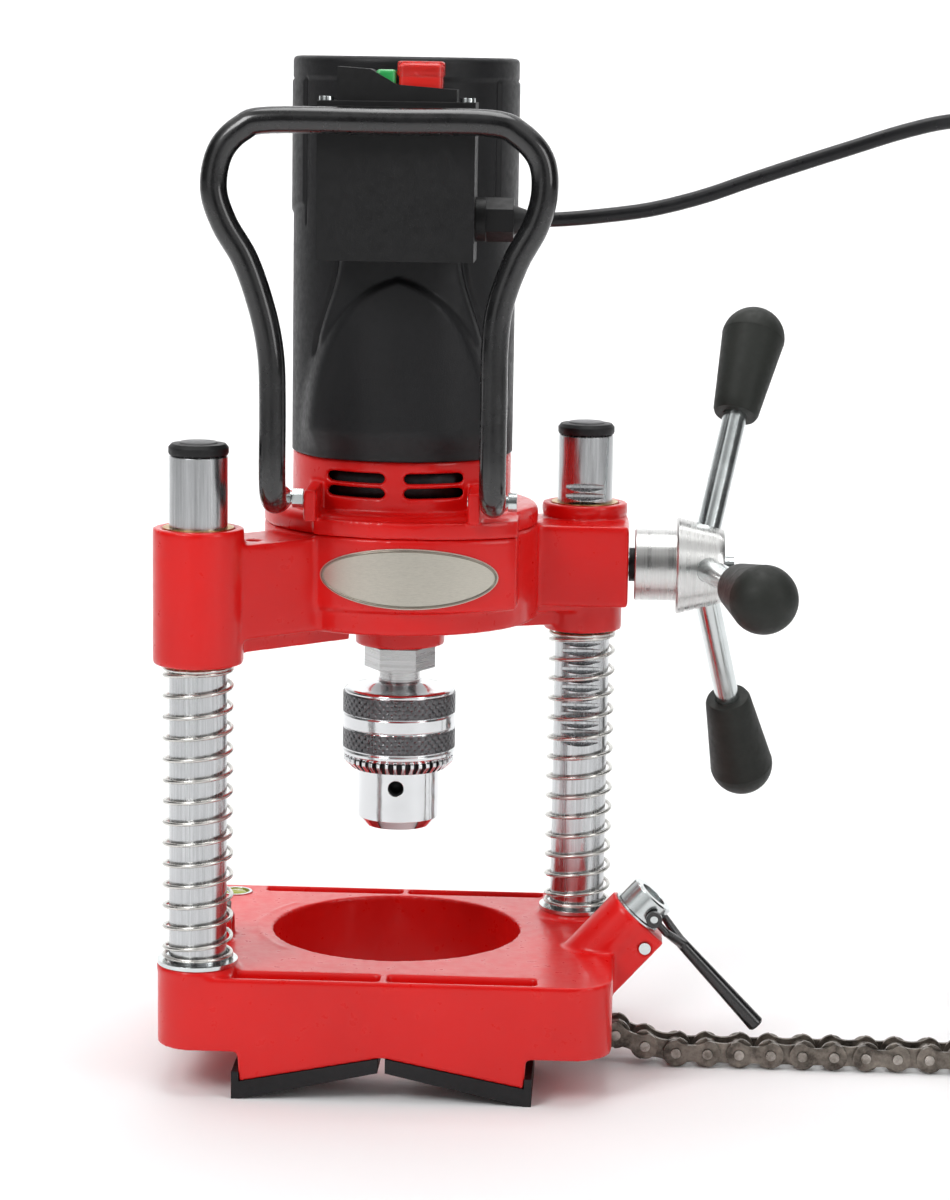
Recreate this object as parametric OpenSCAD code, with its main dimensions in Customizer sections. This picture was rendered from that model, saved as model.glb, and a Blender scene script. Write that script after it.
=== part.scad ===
// Chain-clamp pipe hole-cutting machine.
// The spindle axis is Z, the top face of the base is z = 0, and the operator stands at -Y.

/* [Base] */
// Width of the base across X
base_w = 222; // [200:1:270]
// Distance from the spindle axis to the front face of the base
base_front = 104; // [96:1:130]
// Distance from the spindle axis to the back face of the base
base_back = 79; // [74:1:100]
// Thickness of the base flange
base_h = 36.5; // [30:0.5:46]
// Radius of the base's upright corners
corner_r = 19.5; // [16:0.5:24]
// Diameter of the guide hole for the hole saw
hole_d = 126; // [100:1:130]
// Width of the V block under the base
vee_w = 140; // [136:1:150]
// Slope of each side of the V
vee_angle = 11; // [8:0.5:14]
// Thickness of the vee pads, measured upright
pad_t = 7; // [5:0.5:10]
// Diameter of the bull's-eye level
level_d = 14; // [10:0.5:18]

/* [Columns and springs] */
// Diameter of the two guide columns
col_d = 28; // [24:0.5:34]
// Height of the column tops above the base
col_top = 252; // [240:1:300]
// Distance of the right column behind the spindle axis
col_right_y = 38.5; // [30:0.5:48]
// Tooth module of the rack and its pinion
rack_module = 1.5; // [1.25:0.05:1.8]
// Number of teeth on the feed pinion
pinion_teeth = 12; // [11:1:14]
// Wire diameter of the return springs
wire_d = 2; // [1.6:0.1:2.4]
// Number of turns in each return spring
spring_turns = 16; // [12:1:18]
// Gap between a column and the inside of its spring
spring_gap = 1.3; // [0.8:0.1:2]

/* [Head] */
// Height of the underside of the column bosses above the base
head_z = 151; // [140:1:170]
// Height of the column bosses
boss_h = 66; // [56:1:80]
// Radius of the gearbox body
body_r = 68.5; // [64:0.5:82]
// Diameter of the vented neck under the motor
neck_d = 109; // [105:1:114]
// Wall of the head casting
head_wall = 6.5; // [5:0.5:8]
// Wall round each guide bush
boss_wall = 4.8; // [3.5:0.1:7]
// Wall of the guide bushes
bush_t = 3; // [2:0.25:4]

/* [Motor and switch] */
// Diameter of the motor housing
motor_d = 110; // [104:1:132]
// Height of the top of the motor housing above the base
motor_top = 440; // [420:1:530]
// Wall of the motor housing
motor_wall = 4; // [3:0.5:5]
// Width of the switch box
box_w = 74; // [66:1:89]
// Height of the switch box
box_h = 72; // [60:1:86]
// Distance from the spindle axis to the front of the switch box
box_front = 88; // [84:1:95]
// Diameter of the carry handle tube
grip_d = 12.7; // [10:0.1:15]

/* [Feed] */
// Diameter of the feed hub
hub_d = 36; // [30:1:42]
// Diameter of the three spokes
spoke_d = 12.5; // [10:0.5:15]
// Distance from the hub axis to the tip of each knob
spoke_reach = 146; // [120:1:168]
// Large diameter of the knobs
knob_d = 33; // [27:1:40]

/* [Chuck] */
// Diameter of the chuck sleeve
chuck_d = 57; // [50:1:66]
// Diameter of the chuck nose
nose_d = 41; // [38:1:44]
// Across flats of the spindle hexagon
hex_af = 31; // [26:1:36]

/* [Chain and tensioner] */
// Pitch of the clamp chain
chain_pitch = 15.875; // [13.3:0.005:19.1]
// Width between the inner plates of the chain
chain_inner_w = 9.4; // [7:0.1:11]
// Diameter of the draw screw
screw_d = 12; // [10:0.5:14]
// Tilt of the draw screw above level
screw_tilt = 48; // [45:1:52]

/* [Clearances] */
// Radial running clearance of shafts and slides
run = 0.05; // [0.03:0.01:0.08]
// Gap between separate moving pieces
gap = 0.3; // [0.2:0.05:0.4]
// Gap round pieces that are clamped or pressed together
seat = 0.02; // [0.01:0.01:0.05]

/* [Hidden] */
$fn = 64;
hull_fn = 32;

// Base
base_x = base_w / 2;
hole_r = hole_d / 2;
pad_lip = 2.8;
pad_lip_h = 5;
vee_x = vee_w / 2;
vee_top = 1.1;
ground_z = -base_h - 23.2;
pad_split = 14;
tens_y = -26;
chain_slot_w = 26;
boss_ring_h = 3;
hook_x = -87;
hook_z = 8;
hook_w = 9;
hook_pin_r = 2.5;
washer_t = 2;

// Columns: the left one is concentric with the front left corner
col_r = col_d / 2;
left_x = -(base_x - corner_r);
left_y = -(base_front - corner_r);
right_x = base_x - corner_r;
col_foot = 6.5;
cap_h = 5.5;
spring_r = col_r + spring_gap + wire_d / 2;
spring_z0 = boss_ring_h + washer_t;
washer_r = spring_r + wire_d + 1.2;

// Head
bush_r = col_r + run + bush_t;
boss_r = bush_r + boss_wall;
bush_l = 17;
head_top = head_z + boss_h;
floor_z = head_z + 12;
floor_t = 8;
split_z = head_top - 6;
arm_z1 = split_z - 2;
shoulder_z = split_z + 10;
neck_r = neck_d / 2;
neck_top = split_z + 35.5;
cavity_r = body_r - head_wall;
plate_z = floor_z + 23;
plate_t = 6;
neck_wall = 5;

// Feed: the pinion meshes with the rack on the front of the right column
pinion_r = rack_module * pinion_teeth / 2;
rack_flat = col_r - 0.7;
rack_line = rack_flat - rack_module;
feed_y = col_right_y - rack_line - pinion_r;
feed_z = floor_z + 25;
block_r = 20;
feed_end = right_x + boss_r + 1;
shaft_r = 6;
feed_bush_r = 8.5;
spacer_l = 3.2;
hub_x = feed_end + spacer_l;
hub_l = 21;
flange_l = 24;
flange_d = hub_d + 13;
spoke_x = hub_x + hub_l + flange_l / 2;
spoke_lean = 11.5;
spoke_angles = [-32, 88, 208];
pinion_w = 15;
// The roots of the pinion clear the crown of the column between two slots
pinion_ded = (col_r - rack_line) / rack_module + 0.15;

// Gear train: motor shaft, layshaft and spindle
lay_c = 27;
lay_angle = -30;
stage1 = [12, 42, 1.0];
stage2 = [10, 26, 1.5];
spindle_gear_z = floor_z + floor_t + 1.5;
gear_w = 8;
lay_gear_z = plate_z + plate_t + 3;

// Motor
motor_r = motor_d / 2;
motor_z = neck_top;
shaft_top = motor_top - 24;
lam_z = motor_z + 26;
lam_h = 60;

// Switch box
box_x = 1;
box_z1 = motor_top - 23;
box_z0 = box_z1 - box_h;
box_y0 = -box_front;
box_back = -(motor_r + 0.5);
box_t = 1.6;
stop_x0 = 1.6;
stop_x1 = 22;
start_x0 = -9.2;
start_x1 = 0.2;
button_y0 = box_y0 + 7;
button_y1 = box_y0 + 21.6;
gland_z = box_z0 + 19.5;
gland_y = -68;
gland_x = box_x + box_w / 2;

// Carry handle
grip_points = [
    [-55, -62, 229], [-55, -80, 230], [-55, -91, 233], [-55, -98, 243], [-55, -98, 280],
    [-56, -98, 302], [-60, -98, 322], [-68, -98, 345], [-78, -98, 362], [-83, -98, 378],
    [-80, -98, 395], [-70, -98, 406], [-56, -98, 410], [0, -98, 410], [45, -98, 410],
    [59, -98, 405], [69, -98, 394], [71, -98, 379], [67, -98, 363], [58, -98, 346],
    [51, -98, 325], [49, -98, 305], [49, -98, 280], [49, -98, 243], [49, -91, 233],
    [49, -80, 230], [49, -62, 229]
];

// Chuck
nose_z = 55;
body_l = 72;
core_r = nose_d / 2 - 4;
arbor_r = 8;
stem_r = 10.3;
jaw_r = 3;
jaw_l = 20;
jaw_off = 11.6;
jaw_tilt = 15;
jaw_angles = [-30, 90, 210];
sleeve_z0 = nose_z + 30;
sleeve_z1 = sleeve_z0 + 44;
stem_z1 = sleeve_z1 + 7;
hex_z1 = stem_z1 + 11;

// Chain
pin_d = 5.08;
plate_th = 2;
inner_h = 15;
outer_h = 13;
roller_d = 10.16;
chain_floor = ground_z + inner_h / 2 + 0.1;
// Heading of each lead link below level; the links after them lie flat, then roll up
lead_headings = [1, 7, 20, 11.3];
flat_to = 16;
roll_r0 = 38;
roll_step = 16.4;
eye_x = base_x - 29.5;
eye_z = chain_floor + chain_pitch * (sin(lead_headings[0]) + sin(lead_headings[1])
    + sin(lead_headings[2]) + sin(lead_headings[3]));
links_a = 3;
links_b = 4;
links_all = 30;

// Tensioner: the draw screw passes through the head of the boss
face_x = base_x + 11;
face_z = 17.9;
screw_r = screw_d / 2;
nut_r = 11.75;
nut_h = 12;
boss_rad = 15;
boss_low = 18.6;
tongue_w = chain_inner_w - 0.6;
dowel_r = 3;
dowel_x = 13.5;
dowel_z = -8;
tongue_x = dowel_x - dowel_r - gap;
lever_off = 6.5;
lever_z = 6.2;
lever_turn = 95;
lever_y = nut_r + gap + 2;
lever_eye = 3.4;

// Cable route and coil
cord_r = 3.5;
cord_points = [
    [62, -68, 364.5], [78, -68, 365.2], [96, -68, 367], [120, -68, 370.5], [144, -68, 376.8],
    [167, -68, 385], [190, -68, 393], [214, -67, 401], [237, -65, 408.5], [258, -61, 413.5],
    [276, -54, 414], [291, -44, 407], [302, -32, 392], [310, -20, 368], [316, -8, 335],
    [320, 3, 295], [322, 13, 250], [323, 22, 205], [321, 30, 160], [318, 38, 115],
    [315, 46, 73], [313, 52, 40], [312.5, 58, 13], [312.5, 66.5, -10], [312.8, 77, -26],
    [313.5, 89, -36.5], [315.5, 101, -41.2], [321.5, 113, -42.2]
];
coil_x = 350;
coil_y = 90;
coil_r = 40;
coil_layers = 3;
tail_points = [
    [356, 134, -56.2], [373, 131.5, -56.2], [389, 122, -56.2], [398, 106, -56.2],
    [400.5, 90, -56.2], [400.5, 80, -54.9], [400.5, 70, -51.6], [400.5, 60, -48.2],
    [400.5, 50, -46.9]
];

// ---- helpers ----

function unit(v) = v / norm(v);
// Side direction of each ring, carried along the path without twist
function side_dirs(p, u, i = 0) = i >= len(p) ? []
    : let (d = tangent(p, i), v = unit(u - (u * d) * d)) concat([v], side_dirs(p, v, i + 1));
function lerp(a, b, t) = a + (b - a) * t;
// Point of a Catmull-Rom curve between p[i] and p[i + 1]
function spline(p, i, t) =
    let (n = len(p) - 1, a = p[max(i - 1, 0)], b = p[i], c = p[i + 1], d = p[min(i + 2, n)])
    0.5 * (2 * b + (c - a) * t + (2 * a - 5 * b + 4 * c - d) * t * t
        + (3 * b - a - 3 * c + d) * t * t * t);
function smooth_path(p, k) = concat(
    [for (i = [0 : len(p) - 2]) for (j = [0 : k - 1]) spline(p, i, j / k)], [p[len(p) - 1]]);
function tangent(p, i) = unit(p[min(i + 1, len(p) - 1)] - p[max(i - 1, 0)]);

// Round tube swept along the points of a path
module tube(path, r, sides, first = [1, 0, 0]) {
    n = len(path);
    dirs = side_dirs(path, first);
    rings = [for (i = [0 : n - 1])
        let (d = tangent(path, i), u = dirs[i], v = cross(d, u))
        for (s = [0 : sides - 1])
            path[i] + r * (cos(360 * s / sides) * u + sin(360 * s / sides) * v)];
    sides_f = [for (i = [0 : n - 2]) for (s = [0 : sides - 1])
        [i * sides + s, (i + 1) * sides + s,
         (i + 1) * sides + (s + 1) % sides, i * sides + (s + 1) % sides]];
    start = [for (s = [0 : sides - 1]) s];
    end = [for (s = [sides - 1 : -1 : 0]) (n - 1) * sides + s];
    polyhedron(concat(rings), concat(sides_f, [start, end]), convexity = 8);
}

// Rectangle with rounded corners, from p to q
module round_rect(p, q, r) {
    union() {
        translate([p[0] + r, p[1]]) square([q[0] - p[0] - 2 * r, q[1] - p[1]]);
        translate([p[0], p[1] + r]) square([q[0] - p[0], q[1] - p[1] - 2 * r]);
        for (x = [p[0] + r, q[0] - r], y = [p[1] + r, q[1] - r]) translate([x, y]) circle(r);
    }
}

module box(p, q) translate(p) cube(q - p);

module ring(r1, r0, h) difference() {
    cylinder(r = r1, h = h);
    translate([0, 0, -1]) cylinder(r = r0, h = h + 2);
}

// Slot with round ends, along X
module slot_2d(x0, x1, y0, y1) round_rect([x0, y0], [x1, y1], (y1 - y0) / 2 - 0.01);

module at_cols() {
    translate([left_x, left_y, 0]) children();
    translate([right_x, col_right_y, 0]) children();
}

module along_x(x) translate([x, feed_y, feed_z]) rotate([0, 90, 0]) children();

// Involute tooth flank: point at radius r on a gear of base radius rb
function inv_a(r, rb) = let (a = acos(min(1, rb / r))) tan(a) * 180 / PI - a;
function flank(n, m, r, side) =
    let (rp = m * n / 2, rb = rp * cos(20), half = 90 / n * 0.94,
        a = half + inv_a(rp, rb) - inv_a(max(r, rb), rb))
    r * [cos(side * a), sin(side * a)];
// Gear outline with tooth 0 on +X
function gear_points(n, m, add, ded) =
    let (rp = m * n / 2, radii = [rp - ded * m, rp - 0.3 * m, rp + 0.3 * m, rp + add * m])
    [for (k = [0 : n - 1], p = concat(
        [for (r = radii) flank(n, m, r, -1)],
        [for (j = [3 : -1 : 0]) flank(n, m, radii[j], 1)]))
        [p[0] * cos(360 * k / n) - p[1] * sin(360 * k / n),
         p[0] * sin(360 * k / n) + p[1] * cos(360 * k / n)]];
module gear(n, m, h, add = 0.8, ded = 1.1) linear_extrude(h)
    polygon(gear_points(n, m, add, ded));

// ---- base ----

module vee_profile(top) polygon([
    [-vee_x, -base_h + top], [vee_x, -base_h + top],
    [vee_x - 1, vee_under(vee_x - 1)], [0, -base_h - vee_top],
    [1 - vee_x, vee_under(vee_x - 1)]]);
function vee_under(x) = -base_h - vee_top - x * tan(vee_angle);

module in_xz(y0, y1) translate([0, y1, 0]) rotate([90, 0, 0]) linear_extrude(y1 - y0) children();

module to_tensioner() translate([face_x, tens_y, face_z]) rotate([0, 90 - screw_tilt, 0]) children();

module base_casting() {
    color("crimson") difference() {
        union() {
            translate([0, 0, -base_h]) linear_extrude(base_h)
                round_rect([-base_x, -base_front], [base_x, base_back], corner_r);
            in_xz(-base_front, base_back) vee_profile(1);
            at_cols() cylinder(r = corner_r + 0.4, h = boss_ring_h);
            tensioner_boss();
            hook_lugs();
            marks();
        }
        translate([0, 0, -base_h * 2]) cylinder(r = hole_r, h = base_h * 3, $fn = 128);
        at_cols() translate([0, 0, -base_h + col_foot]) cylinder(r = col_r + run, h = base_h);
        at_cols() translate([0, 0, -base_h - 1]) cylinder(r = 5.6, h = base_h);
        casting_slots();
        tensioner_cuts();
        translate([left_x + 1.5, base_back - 15, -5]) cylinder(r = level_d / 2 + 1.5, h = 10);
        pad_holes();
    }
}

module marks() difference() {
    rotate([0, 0, 142]) rotate_extrude(angle = 79) translate([hole_r + 7, 0]) circle(0.8);
    translate([0, 0, -10]) cylinder(r = hole_r + 20, h = 9);
}

module casting_slots() for (s = [-1, 1]) {
    translate([0, 0, -6]) linear_extrude(10) {
        round_rect([s > 0 ? 2 : -73, -base_front + 3.5], [s > 0 ? 74 : -2, -base_front + 15], 1.5);
        round_rect([s > 0 ? 1.5 : -74, base_back - 11], [s > 0 ? 73 : -2, base_back - 1.8], 1.5);
    }
}

module tensioner_boss() intersection() {
    to_tensioner() translate([0, 0, -75]) linear_extrude(75) union() {
        circle(boss_rad);
        translate([0, -boss_rad + 2]) square([boss_low, 2 * boss_rad - 4]);
    }
    box([vee_x - 4, tens_y - 20, -base_h], [base_x + 60, tens_y + 20, 60]);
}

module tensioner_cuts() {
    to_tensioner() translate([0, 0, -80]) cylinder(r = screw_r + 0.1, h = 90);
    to_tensioner() translate([-screw_r - gap, -chain_inner_w / 2, -110])
        cube([screw_r + gap + 15, chain_inner_w, 92]);
    box([vee_x - 14, tens_y - chain_slot_w / 2, -base_h - 60],
        [vee_x + 10, tens_y + chain_slot_w / 2, -base_h + 12]);
    for (s = [0, 1]) mirror([s, 0, 0]) box([vee_x - 2, tens_y - chain_slot_w / 2, -base_h - 1],
        [base_x + 2, tens_y + chain_slot_w / 2, -base_h + 10]);
    dowel_place() cylinder(r = dowel_r + seat, h = 60, center = true);
}

module dowel_place() to_tensioner() translate([dowel_x, 0, dowel_z]) rotate([90, 0, 0]) children();

module hook_lugs() difference() {
    for (s = [-1, 1]) translate([hook_x, tens_y + s * (hook_w / 2 + gap + 2), 0]) rotate([90, 0, 0])
        linear_extrude(4, center = true) union() {
            translate([0, hook_z]) circle(6);
            translate([-6, -1]) square([12, hook_z + 1]);
        }
    hook_place() cylinder(r = hook_pin_r + seat, h = 60, center = true);
}

module pad_places() for (x = [-1, 1], y = [-1, 1])
    translate([x * vee_x * 0.5, y > 0 ? base_back - 10 : -base_front + 12, 0]) children();
module pad_holes() pad_places() translate([0, 0, -base_h - 30]) cylinder(r = 2.6, h = 42);

module vee_pads() color("dimgray") difference() {
    for (s = [0, 1], b = [[-base_front, tens_y - pad_split], [tens_y + pad_split, base_back]])
        mirror([s, 0, 0]) in_xz(b[0], b[1]) pad_profile();
    translate([0, 0, -100]) cylinder(r = hole_r + 0.5, h = 100, $fn = 128);
    pad_places() translate([0, 0, -80]) cylinder(r = 2.6, h = 60);
    pad_places() translate([0, 0, -80]) cylinder(r = 4.8, h = 80 + vee_under(vee_x * 0.5) - 3.4);
}
module pad_profile() polygon([
    [1.8, vee_under(1.8)], [vee_x - 0.8, vee_under(vee_x - 0.8)],
    [vee_x - 0.8, vee_under(vee_x) + pad_lip_h], [vee_x + pad_lip, vee_under(vee_x) + pad_lip_h],
    [vee_x + pad_lip, ground_z], [vee_x - 1, ground_z], [1.8, vee_under(1.8) - pad_t]]);

module base_screws() color("silver") {
    column_screws();
    pad_screws();
}
module pad_screws() pad_places() {
    translate([0, 0, vee_under(vee_x * 0.5) - 6.2]) cylinder(r = 4.5, h = 2.6);
    translate([0, 0, vee_under(vee_x * 0.5) - 4]) cylinder(r = 2.5, h = 20);
}

module level_bezel() color("gainsboro") translate([left_x + 1.5, base_back - 15, -5])
    ring(level_d / 2 + 1.5, level_d / 2 + seat, 5.4);
module level_vial() color("yellowgreen") translate([left_x + 1.5, base_back - 15, -5])
    rotate_extrude() polygon([[0, 0], [level_d / 2, 0], [level_d / 2, 4.2], [level_d / 4, 5.4],
        [0, 5.8]]);

// ---- columns and springs ----

module column() difference() {
    union() {
        translate([0, 0, -base_h + col_foot]) cylinder(r = col_r, h = col_top + base_h - col_foot - 1);
        translate([0, 0, col_top - 1]) cylinder(r1 = col_r, r2 = col_r - 1, h = 1);
    }
    translate([0, 0, -base_h]) cylinder(r = 5 + seat, h = 32);
    translate([0, 0, col_top - 12]) cylinder(r = 6 + seat, h = 20);
}

module left_column() color("lightgray") translate([left_x, left_y, 0]) column();

// Slots across the front of the column leave the rack teeth between them
module right_column() color("lightgray") translate([right_x, col_right_y, 0]) difference() {
    column();
    for (k = [-20 : 8]) translate([0, -rack_line, rack_z(k)]) rotate([90, 0, 90])
        linear_extrude(40, center = true) polygon(rack_gap());
}
// Share by which a rack slot is wider than half a pitch
rack_play = 1.14;
// A slot centre lies level with the pinion axis
function rack_z(k) = feed_z + k * PI * rack_module;
function rack_gap() = let (w = PI * rack_module / 4 * rack_play, a = tan(20) * rack_module, t = tan(20) * 4)
    [[1.15 * rack_module, -w + a * 1.1], [1.15 * rack_module, w - a * 1.1], [-4, w + t], [-4, -w - t]];

module column_caps() color("dimgray") at_cols() translate([0, 0, col_top]) {
    rotate_extrude() polygon([[0, 0], [col_r, 0], [col_r + 0.4, 1], [col_r + 0.4, cap_h - 2],
        [col_r - 1, cap_h - 0.3], [col_r - 3, cap_h], [0, cap_h]]);
    translate([0, 0, -11]) cylinder(r = 6, h = 11);
}

module column_screws() at_cols() {
    translate([0, 0, -base_h - 0.5]) cylinder(r = 5, h = 27);
    translate([0, 0, -base_h - 3.5]) cylinder(r = 8.2, h = 3.5);
}

// Spring seats on the columns, and the thrust washer under the tension nut
module steel_washers() color("silver") {
    at_cols() translate([0, 0, boss_ring_h]) ring(washer_r, col_r + 0.3, washer_t);
    to_tensioner() ring(nut_r + 1.6, screw_r + 0.2, 1);
}

// Compression spring with a closed coil at each end
module spring() {
    n = spring_turns;
    h = head_z - spring_z0 - 0.2 - wire_d;
    closed = 1.25;
    steps = 18;
    function rise(t) = t < closed ? t / closed * wire_d
        : t > n - closed ? h - (n - t) / closed * wire_d
        : lerp(wire_d, h - wire_d, (t - closed) / (n - 2 * closed));
    tube([for (i = [0 : n * steps]) let (t = i / steps)
        [spring_r * cos(360 * t), spring_r * sin(360 * t), spring_z0 + 0.1 + wire_d / 2 + rise(t)]],
        wire_d / 2, 6);
}
module left_spring() color("silver") translate([left_x, left_y, 0]) spring();
module right_spring() color("silver") translate([right_x, col_right_y, 0]) spring();

// ---- chain hook ----

module hook_place() translate([hook_x, tens_y, hook_z]) rotate([90, 0, 0]) children();
module chain_hook() color("dimgray") hook_place() difference() {
    linear_extrude(hook_w, center = true) union() {
        circle(5.2);
        polygon([[-4.5, 1], [4.4, 1], [4.4, 9], [0, 13], [-13, 13], [-17, 8], [-14, 6.5],
            [-11, 9], [-4.5, 8]]);
    }
    cylinder(r = hook_pin_r + run, h = 30, center = true);
}

// ---- tensioner ----

module cross_pins() color("silver") {
    dowel_place() cylinder(r = dowel_r, h = 2 * boss_rad - 2.4, center = true);
    hook_place() cylinder(r = hook_pin_r, h = hook_w + 10, center = true);
}

module eye_place() translate([eye_x, tens_y, eye_z]) rotate([90, 0, 0]) children();

// Threaded rod, then a flat tongue that runs against the dowel and carries the chain's first pin
module draw_screw() color("darkgray") difference() {
    union() {
        to_tensioner() translate([0, 0, -46]) cylinder(r = screw_r - run, h = 46 + nut_h - 3);
        translate([0, tens_y + tongue_w / 2, 0]) rotate([90, 0, 0]) linear_extrude(tongue_w)
            tongue_outline();
    }
    eye_place() cylinder(r = pin_d / 2 + run, h = 40, center = true);
}
// A point of the tensioner's own X and Z, in the machine's X and Z
function tens_xz(x, z) = [face_x + x * sin(screw_tilt) + z * cos(screw_tilt),
    face_z - x * cos(screw_tilt) + z * sin(screw_tilt)];
module tongue_outline() union() {
    translate([eye_x, eye_z]) circle(6.4);
    polygon([tens_xz(-screw_r, -20), tens_xz(tongue_x, -20), tens_xz(tongue_x, -60),
        [eye_x + 6.2, eye_z + 1.5], [eye_x - 6.2, eye_z + 1.5], tens_xz(-screw_r, -58)]);
}

module at_lever(s) translate([lever_off, s * (lever_y - lever_eye), lever_z]) rotate([90, 0, 0]) children();
module tension_nut() color("silver") to_tensioner() difference() {
    union() {
        translate([0, 0, 1 + gap]) cylinder(r = nut_r, h = nut_h - 1);
        translate([0, 0, nut_h + gap]) cylinder(r1 = nut_r, r2 = nut_r - 0.8, h = 0.8);
    }
    cylinder(r = screw_r, h = 60, center = true);
    for (s = [-1, 1]) at_lever(s) cylinder(r = 2 + seat, h = 8.2, center = true);
    translate([0, 0, nut_h - 3]) cylinder(r = screw_r + 1.2, h = 20);
}

module lever_pin() color("silver") for (s = [-1, 1]) to_tensioner()
    at_lever(s) cylinder(r = 2, h = 8, center = true);

// Forked swing lever: two arms carry the pins and meet in a round bar
module tension_lever() color("black") to_tensioner() translate([lever_off, 0, lever_z])
    rotate([0, lever_turn, 0]) difference() {
        union() {
            for (s = [-1, 1]) translate([0, s * lever_y, 0]) rotate([90, 0, 0])
                cylinder(r = 4, h = lever_eye, center = true);
            for (s = [-1, 1]) hull() {
                translate([0, s * lever_y, 1]) sphere(1.7, $fn = 16);
                translate([0, s * lever_y, 9]) sphere(2, $fn = 16);
            }
            for (s = [-1, 1]) hull() {
                translate([0, s * lever_y, 9]) sphere(2, $fn = 16);
                translate([0, s * 1.2, 21]) sphere(2.6, $fn = 16);
            }
            translate([0, 0, 20]) cylinder(r1 = 3, r2 = 4.3, h = 57);
            translate([0, 0, 77]) cylinder(r1 = 4.3, r2 = 3.5, h = 1);
        }
        rotate([90, 0, 0]) cylinder(r = 2 + run, h = 60, center = true);
    }

// ---- chain ----

// Positions of all pins in X and Z: the lead, the flat run, then a roll of shrinking radius
function chain_walk(k, p, a, r) =
    let (turn = 2 * asin(chain_pitch / 2 / r), next = k + 1,
        a1 = next < len(lead_headings) ? lead_headings[next] : next < flat_to ? 0 : a - turn,
        r1 = next < flat_to ? r : r - roll_step * turn / 360)
    k > links_all ? [] : concat([p],
        chain_walk(next, p + chain_pitch * [cos(a), -sin(a)], a1, r1));
chain_at = chain_walk(0, [eye_x, eye_z], lead_headings[0], roll_r0);

module link_outline(k, h) {
    p = chain_at[k];
    q = chain_at[k + 1];
    a = atan2(q[1] - p[1], q[0] - p[0]);
    translate(p) rotate(a) difference() {
        union() {
            circle(h / 2);
            translate([chain_pitch, 0]) circle(h / 2);
            translate([0, -h * 0.4]) square([chain_pitch, h * 0.8]);
        }
        translate([chain_pitch / 2, h * 1.32]) circle(h);
        translate([chain_pitch / 2, -h * 1.32]) circle(h);
        circle(pin_d / 2 + run);
        translate([chain_pitch, 0]) circle(pin_d / 2 + run);
    }
}
// Odd links are inner links, even ones outer
module chain_plates(a, b) for (k = [a : b], s = [-1, 1]) {
    inner = k % 2 == 1;
    y = inner ? chain_inner_w / 2 : chain_inner_w / 2 + plate_th + 0.15;
    translate([0, tens_y + (s > 0 ? y + plate_th : -y), 0]) rotate([90, 0, 0])
        linear_extrude(plate_th) link_outline(k, inner ? inner_h : outer_h);
}
module chain_pins(a, b) for (k = [a : b]) {
    p = chain_at[k];
    translate([p[0], tens_y, p[1]]) rotate([90, 0, 0]) {
        cylinder(r = pin_d / 2, h = chain_inner_w + 4 * plate_th + 2.4, center = true);
        if (k > 0) difference() {
            cylinder(r = roller_d / 2, h = chain_inner_w - 0.2, center = true);
            cylinder(r = pin_d / 2 + run, h = 60, center = true);
        }
    }
}
module chain_plates_a() color("dimgray") chain_plates(0, links_a - 1);
module chain_pins_a() color("gray") chain_pins(0, links_a - 1);
module chain_plates_b() color("dimgray") chain_plates(links_a, links_a + links_b - 1);
module chain_pins_b() color("gray") chain_pins(links_a, links_a + links_b - 1);
module chain_plates_c() color("dimgray") chain_plates(links_a + links_b, links_all - 1);
module chain_pins_c() color("gray") chain_pins(links_a + links_b, links_all);

// ---- head ----

module arm(x, y, w) polygon([
    for (s = [-1, 1]) [x, y] + s * w * [-y, x] / norm([x, y]),
    for (s = [1, -1]) s * w * [-y, x] / norm([x, y])]);

module head_outline() union() {
    circle(body_r, $fn = 128);
    arm(left_x, left_y, boss_r - 3.4);
    arm(right_x, col_right_y, boss_r - 3.4);
}

pad_x0 = -39;
pad_x1 = 60;
pad_front = body_r + 3.5;
face_curve_r = 92;
plate_cx = 8;
plate_a = 43.3;
plate_b = 14.8;

module face_pad() intersection() {
    translate([plate_cx, face_curve_r - pad_front, 0]) cylinder(r = face_curve_r, h = 400, $fn = 128);
    translate([0, 0, floor_z + 12]) linear_extrude(split_z - floor_z - 12)
        translate([pad_x0, -100]) square([pad_x1 - pad_x0, 100]);
}

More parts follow.
